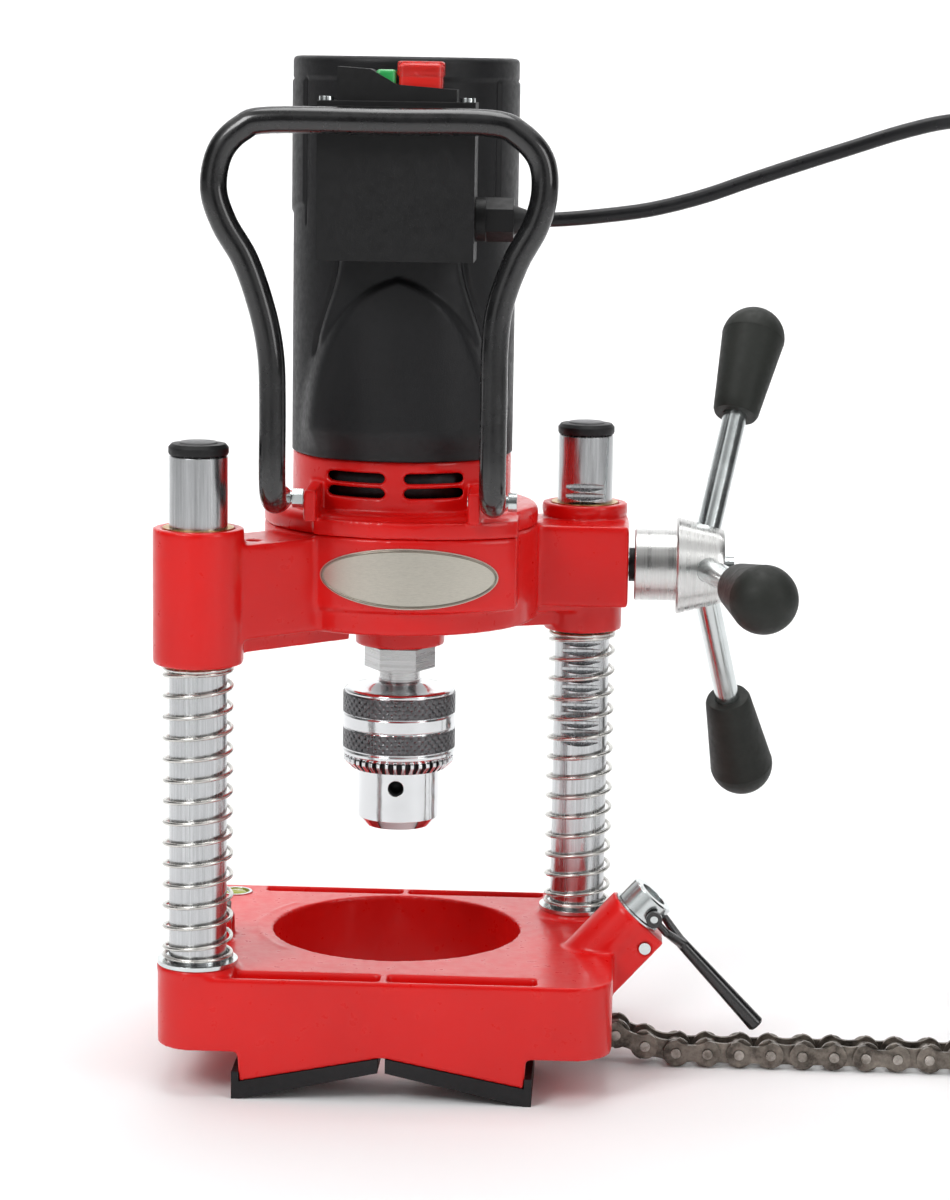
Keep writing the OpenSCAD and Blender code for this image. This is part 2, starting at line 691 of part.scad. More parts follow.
module head_casting() color("crimson") difference() {
    union() {
        translate([0, 0, floor_z]) linear_extrude(arm_z1 - floor_z) head_outline();
        translate([0, 0, floor_z]) cylinder(r = body_r, h = split_z - floor_z, $fn = 128);
        face_pad();
        at_cols() translate([0, 0, head_z]) cylinder(r = boss_r - 1.8, h = 20);
        translate([left_x, left_y, head_z]) cylinder(r = boss_r, h = boss_h);
        translate([right_x, col_right_y, floor_z + 4]) cylinder(r = boss_r, h = arm_z1 - floor_z - 4);
        translate([right_x, col_right_y, arm_z1]) cylinder(r = boss_r - 1.2, h = 3);
        translate([right_x, col_right_y, arm_z1 + 2]) cylinder(r = boss_r, h = head_top - arm_z1 - 2);
        feed_block();
        translate([0, 0, head_z - 3]) cylinder(r = 22.5, h = 16);
        arm_ribs();
    }
    at_cols() translate([0, 0, head_z - 1]) cylinder(r = bush_r + seat, h = boss_h + 2);
    translate([0, 0, floor_z + floor_t]) cylinder(r = cavity_r - 3, h = 100);
    translate([0, 0, plate_z]) cylinder(r = cavity_r, h = 100);
    translate([0, 0, head_z]) cylinder(r = 17.5 + seat, h = 12.5);
    translate([0, 0, head_z - 5]) cylinder(r = 11, h = 60);
    at_layshaft() translate([0, 0, floor_z + 1.5]) cylinder(r = 11 + seat, h = 20);
    along_x(right_x - 24) cylinder(r = feed_bush_r + seat, h = 80);
    along_x(right_x - pinion_w / 2 - 3) cylinder(r = pinion_r + rack_module + 1.2, h = pinion_w + 4);
    plate_screw_places() translate([0, 0, plate_z - 14]) cylinder(r = 2.1, h = 20);
    translate([left_x + 24.5, left_y + 15.5, arm_z1 - 12]) cylinder(r = 3.4, h = 20);
}
module at_layshaft() rotate([0, 0, lay_angle]) translate([lay_c, 0, 0]) children();

module feed_block() box([right_x - boss_r - 12, feed_y - 16, feed_z - block_r],
    [feed_end, col_right_y, arm_z1]);

module arm_ribs() translate([0, 0, head_z + 4]) linear_extrude(12) difference() {
    union() {
        arm(left_x, left_y, 9);
        arm(right_x, col_right_y, 9);
    }
    circle(40);
}

module plate_screw_places() for (a = [45, 165, 285]) rotate([0, 0, a])
    translate([cavity_r - 1.5 - 3.6, 0, 0]) children();

module motor_bracket() color("crimson") difference() {
    union() {
        translate([0, 0, split_z]) cylinder(r = body_r, h = shoulder_z - split_z - 4, $fn = 128);
        translate([0, 0, shoulder_z - 4]) rotate_extrude($fn = 128) union() {
            square([body_r - 4, 4]);
            intersection() {
                translate([body_r - 4, 0]) circle(4);
                square([body_r, 4]);
            }
        }
        intersection() {
            face_pad_top();
            translate([0, 0, split_z]) cylinder(r = 120, h = 8);
        }
        translate([0, 0, shoulder_z - 1]) cylinder(r = neck_r, h = neck_top - shoulder_z + 1, $fn = 128);
        handle_ears();
    }
    translate([0, 0, split_z + 8]) cylinder(r = neck_r - neck_wall, h = 100, $fn = 128);
    translate([0, 0, split_z - 1]) cylinder(r = 13 + seat, h = 20);
    translate([0, 0, split_z - 1]) cylinder(r = cavity_r, h = 1 + 1);
    for (a = [0, 180]) rotate([0, 0, a]) vents();
    handle_bolts() cylinder(r = 3 + run, h = 90, center = true);
}
module face_pad_top() intersection() {
    translate([plate_cx, face_curve_r - pad_front, 0]) cylinder(r = face_curve_r, h = 400, $fn = 128);
    box([pad_x0, -100, split_z], [pad_x1, 0, split_z + 60]);
}
module vents() for (z = [neck_top - 11, neck_top - 18.3], x = [-33.4, 4.2])
    translate([x, -neck_r - 5, z]) rotate([-90, 0, 0]) linear_extrude(30)
        translate([0, -5]) slot_2d(0, 28.6, 0, 5);

ear_x = [-42.8, 36.2];
module handle_ears() for (x = ear_x) box([x, -72, shoulder_z - 2], [x + 6, -30, shoulder_z + 13]);
module handle_bolts() translate([0, -66, shoulder_z + 8.5]) rotate([0, 90, 0]) children();

module guide_bushes() color("darkgoldenrod") at_cols()
    for (z = [head_z + 0.2, head_top + 0.2 - bush_l]) translate([0, 0, z])
        ring(bush_r, col_r + run, bush_l);

module gear_plate() color("silver") difference() {
    translate([0, 0, plate_z]) cylinder(r = cavity_r - 0.1, h = plate_t);
    translate([0, 0, plate_z - 1]) cylinder(r = 13 + seat, h = 20);
    at_layshaft() translate([0, 0, plate_z - 1]) cylinder(r = 11 + seat, h = 20);
    plate_screw_places() translate([0, 0, plate_z - 1]) cylinder(r = 2.1, h = 20);
}

// The plate follows the curved face of the casting
module name_plate() color("tan") intersection() {
    translate([plate_cx, face_curve_r - pad_front, 0]) difference() {
        cylinder(r = face_curve_r + 1, h = 400, $fn = 128);
        translate([0, 0, -1]) cylinder(r = face_curve_r, h = 402, $fn = 128);
    }
    translate([plate_cx, 0, floor_z + 29]) rotate([90, 0, 0]) linear_extrude(120)
        polygon([for (a = [0 : 5 : 355]) [plate_a * cos(a), plate_b * sin(a)]]);
}

// ---- carry handle ----

module carry_handle() color("black") difference() {
    tube(smooth_path(grip_points, 2), grip_d / 2, 12);
    handle_bolts() cylinder(r = 3 + run, h = 140, center = true);
}

module handle_screws() color("silver") handle_bolts() {
    translate([0, 0, -58]) cylinder(r = 3, h = 19);
    translate([0, 0, -48.4]) cylinder(r = 4.6, h = 5.4, $fn = 6);
    translate([0, 0, 36]) cylinder(r = 3, h = 20);
    translate([0, 0, 55.6]) cylinder(r = 4.6, h = 4.2);
}

// ---- feed ----

module feed_pinion() color("gray") union() {
    along_x(right_x - pinion_w / 2) rotate([0, 0, pinion_phase]) gear(pinion_teeth, rack_module,
        pinion_w, 0.8, pinion_ded);
    along_x(right_x - 22) cylinder(r = shaft_r, h = hub_x + hub_l + flange_l - right_x + 22 - 2);
}
// One tooth points at the rack
pinion_phase = 90;

module feed_bushes() color("darkgoldenrod") {
    along_x(right_x - 23.5) ring(feed_bush_r, shaft_r + run, 23.5 - pinion_w / 2 - 3.4);
    along_x(right_x + pinion_w / 2 + 1.4) ring(feed_bush_r, shaft_r + run,
        feed_end - right_x - pinion_w / 2 - 1.4);
}
module feed_spacer() color("black") along_x(feed_end + 0.3) ring(8.5, shaft_r + seat, spacer_l - 0.3);

module feed_hub() color("silver") difference() {
    along_x(hub_x) rotate_extrude() polygon([[0, 0], [hub_d / 2 - 0.5, 0], [hub_d / 2, 0.5],
        [hub_d / 2, hub_l], [flange_d / 2 - 0.6, hub_l], [flange_d / 2, hub_l + 0.8],
        [hub_d / 2 + 0.5, hub_l + flange_l - 0.5], [hub_d / 2, hub_l + flange_l],
        [0, hub_l + flange_l]]);
    along_x(hub_x - 1) cylinder(r = shaft_r + seat, h = hub_l + flange_l);
    along_x(hub_x) cylinder(r = 3 + seat, h = 80);
    for (a = spoke_angles) at_spoke(a) translate([0, 0, 9]) cylinder(r = spoke_d / 2 + seat, h = 60);
}
// Spokes leave the flange square to the axis but for a lean away from the head
module at_spoke(a) translate([spoke_x, feed_y, feed_z]) rotate([a, 0, 0])
    rotate([0, spoke_lean, 0]) children();
spoke_l = spoke_reach / cos(spoke_lean);
knob_l = 62;
module feed_spokes() color("silver") for (a = spoke_angles) at_spoke(a)
    translate([0, 0, 9.2]) cylinder(r = spoke_d / 2, h = spoke_l - 14 - 9.2);
module feed_knobs() color("black") for (a = spoke_angles) at_spoke(a) difference() {
    translate([0, 0, spoke_l - knob_l]) rotate_extrude() union() {
        polygon([[0, 0], [knob_d * 0.33, 0], [knob_d * 0.36, 2],
            [knob_d * 0.5, knob_l - knob_d * 0.48], [0, knob_l - knob_d * 0.48]]);
        intersection() {
            translate([0, knob_l - knob_d * 0.5]) circle(knob_d * 0.5);
            translate([0, knob_l - knob_d * 0.5]) square(knob_d * 0.5);
        }
    }
    translate([0, 0, -1]) cylinder(r = spoke_d / 2 + seat, h = spoke_l - 13.8 + 1);
}
module hub_screw() color("silver") along_x(hub_x) {
    translate([0, 0, hub_l + flange_l - 1.9]) cylinder(r = 3, h = 2.2);
    translate([0, 0, hub_l + flange_l + 0.2]) cylinder(r = 5.2, h = 5);
}

// ---- gear train ----

module spindle() color("lightgray") {
    translate([0, 0, nose_z + 36]) cylinder(r = arbor_r, h = body_l - 35);
    translate([0, 0, nose_z + body_l]) cylinder(r = stem_r, h = stem_z1 - nose_z - body_l + 0.1);
    translate([0, 0, stem_z1]) cylinder(r = hex_af / sqrt(3), h = hex_z1 - stem_z1, $fn = 6);
    translate([0, 0, hex_z1 - 0.5]) cylinder(r = 8.5, h = spindle_gear_z - hex_z1 + 1);
    translate([0, 0, spindle_gear_z]) rotate([0, 0, lay_angle + 180 / stage2[1]])
        gear(stage2[1], stage2[2], gear_w, 0.7);
    translate([0, 0, spindle_gear_z]) cylinder(r = 5, h = plate_z + plate_t - spindle_gear_z);
}
module layshaft() color("gray") at_layshaft() {
    translate([0, 0, floor_z + 1.8]) cylinder(r = 4, h = lay_gear_z + gear_w - floor_z);
    translate([0, 0, spindle_gear_z]) rotate([0, 0, 180]) gear(stage2[0], stage2[2], gear_w, 0.7, 1);
    translate([0, 0, lay_gear_z]) gear(stage1[1], stage1[2], gear_w - 1, 0.8);
}
module armature() color("peru") {
    translate([0, 0, lay_gear_z - 1]) rotate([0, 0, 180 / stage1[0] + lay_angle])
        gear(stage1[0], stage1[2], gear_w + 1, 0.8);
    translate([0, 0, lay_gear_z - 1]) cylinder(r = 4.5, h = split_z - lay_gear_z + 1);
    translate([0, 0, split_z]) cylinder(r = 5, h = shaft_top - split_z);
    translate([0, 0, lam_z]) cylinder(r = 26, h = lam_h);
    translate([0, 0, lam_z + lam_h + 14]) cylinder(r = 16, h = 20);
}
module cooling_fan() color("black") translate([0, 0, split_z + 10]) difference() {
    union() {
        cylinder(r = neck_r - neck_wall - 3, h = 2);
        cylinder(r = 10, h = 12);
        for (a = [0 : 30 : 330]) rotate([0, 0, a]) translate([18, -0.8, 0])
            cube([neck_r - neck_wall - 3 - 18.5, 1.6, 11]);
    }
    translate([0, 0, -1]) cylinder(r = 5 + seat, h = 30);
}
module bearings() color("silver") {
    translate([0, 0, head_z]) ring(17.5, 8.5 + run, 12);
    translate([0, 0, plate_z]) ring(13, 5 + run, plate_t);
    at_layshaft() for (z = [floor_z + 1.5, plate_z]) translate([0, 0, z]) ring(11, 4 + run, 6);
    translate([0, 0, split_z]) ring(13, 5 + run, 7);
    translate([0, 0, shaft_top - 8]) ring(11, 5 + run, 7);
}

// ---- motor ----

module motor_housing() color("black") difference() {
    union() {
        translate([0, 0, motor_z]) cylinder(r = motor_r, h = motor_top - motor_z - 2, $fn = 128);
        translate([0, 0, motor_top - 2]) cylinder(r1 = motor_r, r2 = motor_r - 1.5, h = 2, $fn = 128);
        motor_bulge();
    }
    translate([0, 0, motor_z - 1]) cylinder(r = motor_r - motor_wall, h = shaft_top - 10 - motor_z + 1,
        $fn = 128);
    translate([0, 0, shaft_top - 11]) ring(motor_r - motor_wall, 15, 30);
    translate([0, 0, shaft_top - 11]) cylinder(r = 11 + seat, h = 13);
}
module motor_bulge() hull() {
    translate([0, 0, motor_z]) intersection() {
        translate([2, 0, 0]) cylinder(r = motor_r + 7, h = 30, $fn = hull_fn * 2);
        box([-50, -100, 0], [54, 0, 30]);
    }
    translate([-26, -motor_r - 4, box_z0 - 4]) cube([56, 20, 3]);
}

module stator() color("silver") translate([0, 0, lam_z]) ring(motor_r - motor_wall - 0.1, 27, lam_h);
module brush_holders() color("goldenrod") for (s = [0, 180]) rotate([0, 0, s])
    translate([16 + gap, -5, lam_z + lam_h + 18]) cube([motor_r - motor_wall - 16 - gap - 0.6, 10, 12]);

// ---- switch ----

module switch_box() color("dimgray") difference() {
    box([box_x - box_w / 2, box_y0, box_z0], [box_x + box_w / 2, box_back, box_z1]);
    box([box_x - box_w / 2 + box_t, box_y0 + box_t, box_z0 + box_t],
        [box_x + box_w / 2 - box_t, box_back + 10, box_z1 - box_t]);
    button_holes();
    at_gland() cylinder(r = 8, h = 20, center = true);
    box_screw_places() translate([0, 0, -12]) cylinder(r = 2 + seat, h = 20);
}
module at_gland() translate([gland_x, gland_y, gland_z]) rotate([0, 90, 0]) children();
module box_screw_places() for (x = [-33, 33])
    translate([box_x + x, box_y0 + 7, box_z1]) children();
module button_holes() {
    box([start_x0 - 0.4, button_y0 - 0.4, box_z1 - 5], [start_x1 + 0.4, button_y1 + 0.4, box_z1 + 40]);
    box([stop_x0 - 0.4, button_y0 - 0.4, box_z1 - 5], [stop_x1 + 0.4, button_y1 + 0.4, box_z1 + 40]);
}

// Top plate and raised guard round the buttons
module switch_guard() color("black") difference() {
    union() {
        box([box_x - box_w / 2, box_y0, box_z1], [box_x + box_w / 2, box_back, box_z1 + 2.2]);
        translate([0, -62, 0]) rotate([90, 0, 0]) linear_extrude(22) polygon([
            [-27, box_z1 + 1], [29, box_z1 + 1], [29, box_z1 + 8], [1, box_z1 + 10],
            [-11.5, box_z1 + 17], [-27, box_z1 + 18]]);
    }
    button_holes();
    box_screw_places() translate([0, 0, -12]) cylinder(r = 2 + seat, h = 20);
}
module box_screws() color("silver") box_screw_places() {
    translate([0, 0, -8]) cylinder(r = 2, h = 10.2);
    translate([0, 0, 2.2]) cylinder(r = 3.6, h = 2);
}
module stop_button() color("red")
    box([stop_x0, button_y0, box_z1 + 1], [stop_x1, button_y1, box_z1 + 20.5]);
module start_button() color("green")
    box([start_x0, button_y0, box_z1 + 1], [start_x1, button_y1, box_z1 + 17.5]);
module switch_block() color("black")
    box([-14, box_y0 + box_t + 0.1, box_z1 - 30], [26, button_y1 + 2, box_z1 - 6]);

module cable_gland() color("black") difference() {
    at_gland() union() {
        translate([0, 0, 0]) cylinder(r = 10.5, h = 5);
        translate([0, 0, 5]) cylinder(r = 10.5, h = 13, $fn = 6);
        translate([0, 0, 18]) cylinder(r1 = 7, r2 = 5, h = 6);
        translate([0, 0, -6]) cylinder(r = 7.9, h = 6.1);
    }
    at_gland() translate([0, 0, -10]) cylinder(r = cord_r + 0.05, h = 60);
}

// ---- chuck ----

module chuck_body() color("silver") difference() {
    union() {
        translate([0, 0, nose_z]) rotate_extrude() polygon([[0, 0], [nose_d / 2 - 4, 0],
            [nose_d / 2, 4.5], [nose_d / 2, 30 - gap], [core_r, 30 - gap],
            [core_r, body_l], [0, body_l]]);
    }
    translate([0, 0, nose_z + 36]) cylinder(r = arbor_r + seat, h = 60);
    translate([0, 0, nose_z - 1]) cylinder(r = 8.2, h = 34);
    for (a = jaw_angles) rotate([0, 0, a + 60]) translate([nose_d / 2, 0, nose_z + 22])
        rotate([0, -90, 0]) cylinder(r = 4, h = 10);
    for (a = jaw_angles) at_jaw(a) translate([0, 0, -20]) cylinder(r = jaw_r + run, h = 21 + jaw_l);
}
// Each jaw slides in its own sloping bore and closes on the axis as it comes down
module at_jaw(a) rotate([0, 0, a]) translate([jaw_off, 0, nose_z]) rotate([0, jaw_tilt, 0]) children();
module jaw(a) color("gray") at_jaw(a) translate([0, 0, 0.8]) cylinder(r = jaw_r, h = jaw_l - 0.8);
module jaw_1() jaw(jaw_angles[0]);
module jaw_2() jaw(jaw_angles[1]);
module jaw_3() jaw(jaw_angles[2]);
module chuck_sleeve() color("silver") difference() {
    union() {
        translate([0, 0, sleeve_z0 + 4]) rotate_extrude($fn = 96) polygon([[0, 0],
            [chuck_d / 2, 0], [chuck_d / 2, sleeve_z1 - sleeve_z0 - 9], [chuck_d / 2 - 1.4, 36.4],
            [14, 40], [0, 40]]);
        translate([0, 0, sleeve_z0]) gear(36, chuck_d / 37.5, 5, 0.5, 1.2);
    }
    translate([0, 0, sleeve_z0 - 1]) cylinder(r = core_r + run, h = nose_z + body_l + gap - sleeve_z0 + 1);
    translate([0, 0, sleeve_z0]) cylinder(r = stem_r + gap, h = 60);
}

// ---- cable ----

module supply_cable() color("black") {
    tube(smooth_path(cord_points, 2), cord_r, 8, [0, 1, 0]);
    tube(smooth_path(tail_points, 2), cord_r, 8, [0, 1, 0]);
}
module cable_coil() color("black") translate([coil_x, coil_y, ground_z + cord_r * coil_layers])
    rotate_extrude() translate([coil_r, 0])
        square([4 * cord_r, 2 * cord_r * coil_layers], center = true);

// Moulded plug with a ribbed neck and two round pins, lying on the floor
module cable_plug() color("black") translate(tail_points[len(tail_points) - 1])
    rotate([90, 0, 0]) {
        cylinder(r1 = 4.4, r2 = 7, h = 16.5);
        intersection() {
            translate([0, 0, 16]) cylinder(r1 = 13, r2 = 18, h = 26);
            translate([-30, -12.8, 16]) cube([60, 25.6, 26]);
        }
        for (s = [-1, 1]) translate([s * 9.5, 0, 41]) cylinder(r = 2.4, h = 19.5);
    }

base_casting();
vee_pads();
base_screws();
level_bezel();
level_vial();
left_column();
right_column();
column_caps();
steel_washers();
left_spring();
right_spring();
chain_hook();
cross_pins();
draw_screw();
tension_nut();
lever_pin();
tension_lever();
chain_plates_a();
chain_pins_a();
chain_plates_b();
chain_pins_b();
chain_plates_c();
chain_pins_c();
head_casting();
motor_bracket();
guide_bushes();
gear_plate();
name_plate();
carry_handle();
handle_screws();
bearings();
feed_pinion();
feed_bushes();
feed_spacer();
feed_hub();
feed_spokes();
feed_knobs();
hub_screw();
spindle();
layshaft();
armature();
cooling_fan();
motor_housing();
stator();
brush_holders();
switch_box();
switch_guard();
box_screws();
stop_button();
start_button();
switch_block();
cable_gland();
chuck_body();
chuck_sleeve();
jaw_1();
jaw_2();
jaw_3();
supply_cable();
cable_coil();
cable_plug();
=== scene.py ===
"""Looks of a chain-clamp pipe hole-cutting machine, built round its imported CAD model."""

import math

import bmesh
import bpy
from mathutils import Matrix, Vector


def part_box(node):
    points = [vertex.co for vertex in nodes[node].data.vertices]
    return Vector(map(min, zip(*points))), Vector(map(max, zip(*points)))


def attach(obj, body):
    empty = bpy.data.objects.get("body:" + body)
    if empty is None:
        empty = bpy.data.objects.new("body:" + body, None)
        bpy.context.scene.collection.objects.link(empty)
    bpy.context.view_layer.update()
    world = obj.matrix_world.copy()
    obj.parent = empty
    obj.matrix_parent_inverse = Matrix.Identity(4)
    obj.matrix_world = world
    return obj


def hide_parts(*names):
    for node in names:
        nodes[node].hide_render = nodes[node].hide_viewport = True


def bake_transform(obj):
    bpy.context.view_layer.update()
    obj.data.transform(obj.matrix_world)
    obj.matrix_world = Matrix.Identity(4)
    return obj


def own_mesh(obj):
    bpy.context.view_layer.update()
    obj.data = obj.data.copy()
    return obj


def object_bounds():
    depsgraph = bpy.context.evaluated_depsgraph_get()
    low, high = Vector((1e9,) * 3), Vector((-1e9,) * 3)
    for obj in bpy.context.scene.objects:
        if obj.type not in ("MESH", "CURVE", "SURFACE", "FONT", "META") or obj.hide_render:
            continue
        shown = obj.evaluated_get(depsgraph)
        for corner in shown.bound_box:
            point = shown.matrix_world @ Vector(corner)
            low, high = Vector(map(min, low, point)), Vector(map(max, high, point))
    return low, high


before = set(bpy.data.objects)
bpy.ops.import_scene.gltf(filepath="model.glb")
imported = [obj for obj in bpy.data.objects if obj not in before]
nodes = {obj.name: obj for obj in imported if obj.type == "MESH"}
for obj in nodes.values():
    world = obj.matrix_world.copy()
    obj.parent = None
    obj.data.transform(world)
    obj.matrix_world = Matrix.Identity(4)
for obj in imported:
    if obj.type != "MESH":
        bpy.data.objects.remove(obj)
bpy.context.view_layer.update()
MM = 0.001


def mm(*values):
    """A point given in millimetres, in metres."""
    return Vector(values) * MM


# ---------------------------------------------------------------- camera

CAMERA_PLACE = (0.1047, -1.6059, 0.4364)
CAMERA_YAW, CAMERA_PITCH, CAMERA_ROLL = -2.394, 9.384, 0.900
LENS, SENSOR_WIDTH = 97.06, 36
CLIP = (0.05, 50)


def make_camera():
    """A long lens, turned a little to the left, tipped down and rolled by under a degree."""
    yaw, pitch, roll = (math.radians(a) for a in (CAMERA_YAW, CAMERA_PITCH, CAMERA_ROLL))
    forward = Vector((math.sin(yaw) * math.cos(pitch), math.cos(yaw) * math.cos(pitch),
                      -math.sin(pitch)))
    level = Vector((math.cos(yaw), -math.sin(yaw), 0))
    above = level.cross(forward)
    right = level * math.cos(roll) + above * math.sin(roll)
    up = above * math.cos(roll) - level * math.sin(roll)
    data = bpy.data.cameras.new("camera")
    data.lens = LENS
    data.sensor_width = SENSOR_WIDTH
    data.clip_start, data.clip_end = CLIP
    camera = bpy.data.objects.new("camera", data)
    bpy.context.scene.collection.objects.link(camera)
    turn = Matrix((right, up, -forward)).transposed().to_4x4()
    camera.matrix_world = Matrix.Translation(CAMERA_PLACE) @ turn
    bpy.context.scene.camera = camera


make_camera()

# ---------------------------------------------------------------- mesh helpers

WELD_GAP = 0.000002


def add_mesh(name, verts, faces):
    """A smoothly shaded object from points and faces."""
    data = bpy.data.meshes.new(name)
    data.from_pydata([tuple(v) for v in verts], [], faces)
    data.validate()
    data.update()
    obj = bpy.data.objects.new(name, data)
    bpy.context.scene.collection.objects.link(obj)
    shade_smooth(obj)
    return obj


def shade_smooth(obj):
    for polygon in obj.data.polygons:
        polygon.use_smooth = True


def curve_through(points, steps):
    """Points of a Catmull-Rom curve through the given points."""
    p = [Vector(q) for q in points]
    out = []
    for i in range(len(p) - 1):
        a, b, c, d = p[max(i - 1, 0)], p[i], p[i + 1], p[min(i + 2, len(p) - 1)]
        for j in range(steps):
            t = j / steps
            out.append(0.5 * (2 * b + (c - a) * t + (2 * a - 5 * b + 4 * c - d) * t * t
                              + (3 * b - a - 3 * c + d) * t**3))
    return out + [p[-1]]


def tube(name, path, radius, sides=12, first=(0, 0, 1), radii=None):
    """A round tube along a path, closed at both ends, without twist."""
    verts, faces = [], []
    side = Vector(first)
    count = len(path)
    for i, point in enumerate(path):
        along = (path[min(i + 1, count - 1)] - path[max(i - 1, 0)]).normalized()
        side = (side - side.dot(along) * along).normalized()
        other = along.cross(side)
        r = radii[i] if radii else radius
        for s in range(sides):
            a = math.tau * s / sides
            verts.append(point + r * (math.cos(a) * side + math.sin(a) * other))
    for i in range(count - 1):
        for s in range(sides):
            n = (s + 1) % sides
            faces.append((i * sides + s, i * sides + n, (i + 1) * sides + n, (i + 1) * sides + s))
    faces.append(tuple(reversed(range(sides))))
    faces.append(tuple((count - 1) * sides + s for s in range(sides)))
    return add_mesh(name, verts, faces)


def lathe(name, profile, sides=96, centre=(0, 0, 0), axis=(0, 0, 1), shape=None, shaped=None,
          closed=False):
    """A turned solid, with a profile of (radius, height).

    shape(angle, height) changes the radius, in the profile's rows that shaped names or in all.
    A closed profile runs back to its start, as in a ring.
    """
    turn = Vector((0, 0, 1)).rotation_difference(Vector(axis)).to_matrix()
    verts, faces = [], []
    rows = len(profile)
    shaped = (shaped or range(rows)) if shape else ()
    for row, (r, h) in enumerate(profile):
        for s in range(sides):
            a = math.tau * s / sides
            rr = max(r + (shape(a, h) if row in shaped else 0), 0)
            verts.append(Vector(centre) + turn @ Vector((rr * math.cos(a), rr * math.sin(a), h)))
    for i in range(rows if closed else rows - 1):
        k = (i + 1) % rows
        for s in range(sides):
            n = (s + 1) % sides
            faces.append((i * sides + s, i * sides + n, k * sides + n, k * sides + s))
    if not closed:
        faces.append(tuple(reversed(range(sides))))
        faces.append(tuple((rows - 1) * sides + s for s in range(sides)))
    return add_mesh(name, verts, faces)


def soft_box(name, low, high, radius, segments=4):
    """A box with rounded edges, between two corners in metres."""
    corners = [(x, y, z) for x in (low[0], high[0]) for y in (low[1], high[1])
               for z in (low[2], high[2])]
    obj = add_mesh(name, corners, [(0, 1, 3, 2), (4, 6, 7, 5), (0, 4, 5, 1), (2, 3, 7, 6),
                                   (0, 2, 6, 4), (1, 5, 7, 3)])
    bm = bmesh.new()
    bm.from_mesh(obj.data)
    bmesh.ops.recalc_face_normals(bm, faces=bm.faces)
    bmesh.ops.bevel(bm, geom=bm.edges[:], offset=radius, segments=segments, profile=0.5,
                    affect="EDGES")
    bm.to_mesh(obj.data)
    bm.free()
    shade_smooth(obj)
    return obj


def ease(value, low, high):
    """A smooth step from 0 at low to 1 at high."""
    t = min(max((value - low) / (high - low), 0), 1)
    return t * t * (3 - 2 * t)


def cast_edges(obj, cell, passes):
    """Soft cast corners: the solid is rebuilt on a fine grid and its surface relaxed."""
    grid = obj.modifiers.new("cast", "REMESH")
    grid.mode = "VOXEL"
    grid.voxel_size = cell
    grid.use_smooth_shade = True
    relax = obj.modifiers.new("relax", "SMOOTH")
    relax.factor = 0.5
    relax.iterations = passes


def smooth_by_angle(obj, degrees=35):
    """Soft shading with sharp edges kept, and the doubled vertices of a CAD mesh joined."""
    weld = obj.modifiers.new("weld", "WELD")
    weld.merge_threshold = WELD_GAP
    shade_smooth(obj)
    modifier = obj.modifiers.new("sharp", "NODES")
    modifier.node_group = sharp_edge_group(degrees)


def sharp_edge_group(degrees):
    """Geometry nodes that mark edges over an angle as sharp."""
    name = f"sharp_{degrees}"
    if name in bpy.data.node_groups:
        return bpy.data.node_groups[name]
    tree = bpy.data.node_groups.new(name, "GeometryNodeTree")
    tree.interface.new_socket("Geometry", in_out="INPUT", socket_type="NodeSocketGeometry")
    tree.interface.new_socket("Geometry", in_out="OUTPUT", socket_type="NodeSocketGeometry")
    source = tree.nodes.new("NodeGroupInput")
    target = tree.nodes.new("NodeGroupOutput")
    angle = tree.nodes.new("GeometryNodeInputMeshEdgeAngle")
    compare = tree.nodes.new("FunctionNodeCompare")
    compare.data_type = "FLOAT"
    compare.operation = "LESS_EQUAL"
    compare.inputs["B"].default_value = math.radians(degrees)
    smooth = tree.nodes.new("GeometryNodeSetShadeSmooth")
    smooth.domain = "EDGE"
    tree.links.new(source.outputs[0], smooth.inputs["Geometry"])
    tree.links.new(angle.outputs["Unsigned Angle"], compare.inputs["A"])
    tree.links.new(compare.outputs["Result"], smooth.inputs["Shade Smooth"])
    tree.links.new(smooth.outputs[0], target.inputs[0])
    return tree


# ---------------------------------------------------------------- supply cable

CORD_D = 0.007
CORD_SIDES = 12
COIL_CENTRE = mm(350, 90, -59.7)
RUN_POINTS = [
    (62, -68, 364.5), (78, -68, 365.2), (96, -68, 367), (120, -68, 370.5), (144, -68, 376.8),
    (167, -68, 385), (190, -68, 393), (214, -67, 401), (237, -65, 408.5), (258, -61, 413.5),
    (276, -54, 414), (291, -44, 407), (302, -32, 392), (310, -20, 368), (316, -8, 335),
    (320, 3, 295), (322, 13, 250), (323, 22, 205), (321, 30, 160), (318, 38, 115),
    (315, 46, 73), (313, 52, 40), (312.5, 58, 13), (312.5, 66.5, -10), (312.8, 77, -26),
    (313.5, 89, -36.5), (315.5, 101, -41.2), (321.5, 113, -42.2),
]
TAIL_POINTS = [
    (356, 134, -56.2), (373, 131.5, -56.2), (389, 122, -56.2), (398, 106, -56.2),
    (400.5, 90, -56.2), (400.5, 80, -54.9), (400.5, 70, -51.6), (400.5, 60, -48.2),
    (400.5, 50, -46.9),
]
# The coil's turns lie in two columns and three layers: (radius, height) of each in turn, in mm
COIL_SEATS = [(36.5, 17.5), (43.5, 17.5), (43.5, 10.5), (36.5, 10.5), (36.5, 3.5), (43.5, 3.5)]
# All in turns: where the coil starts and ends, its first step to the next seat and a step's length
COIL_START = 0.119
COIL_END = 5.26
FIRST_STEP_AT = 0.81
STEP_TURN = 0.135
COIL_STEPS = 204


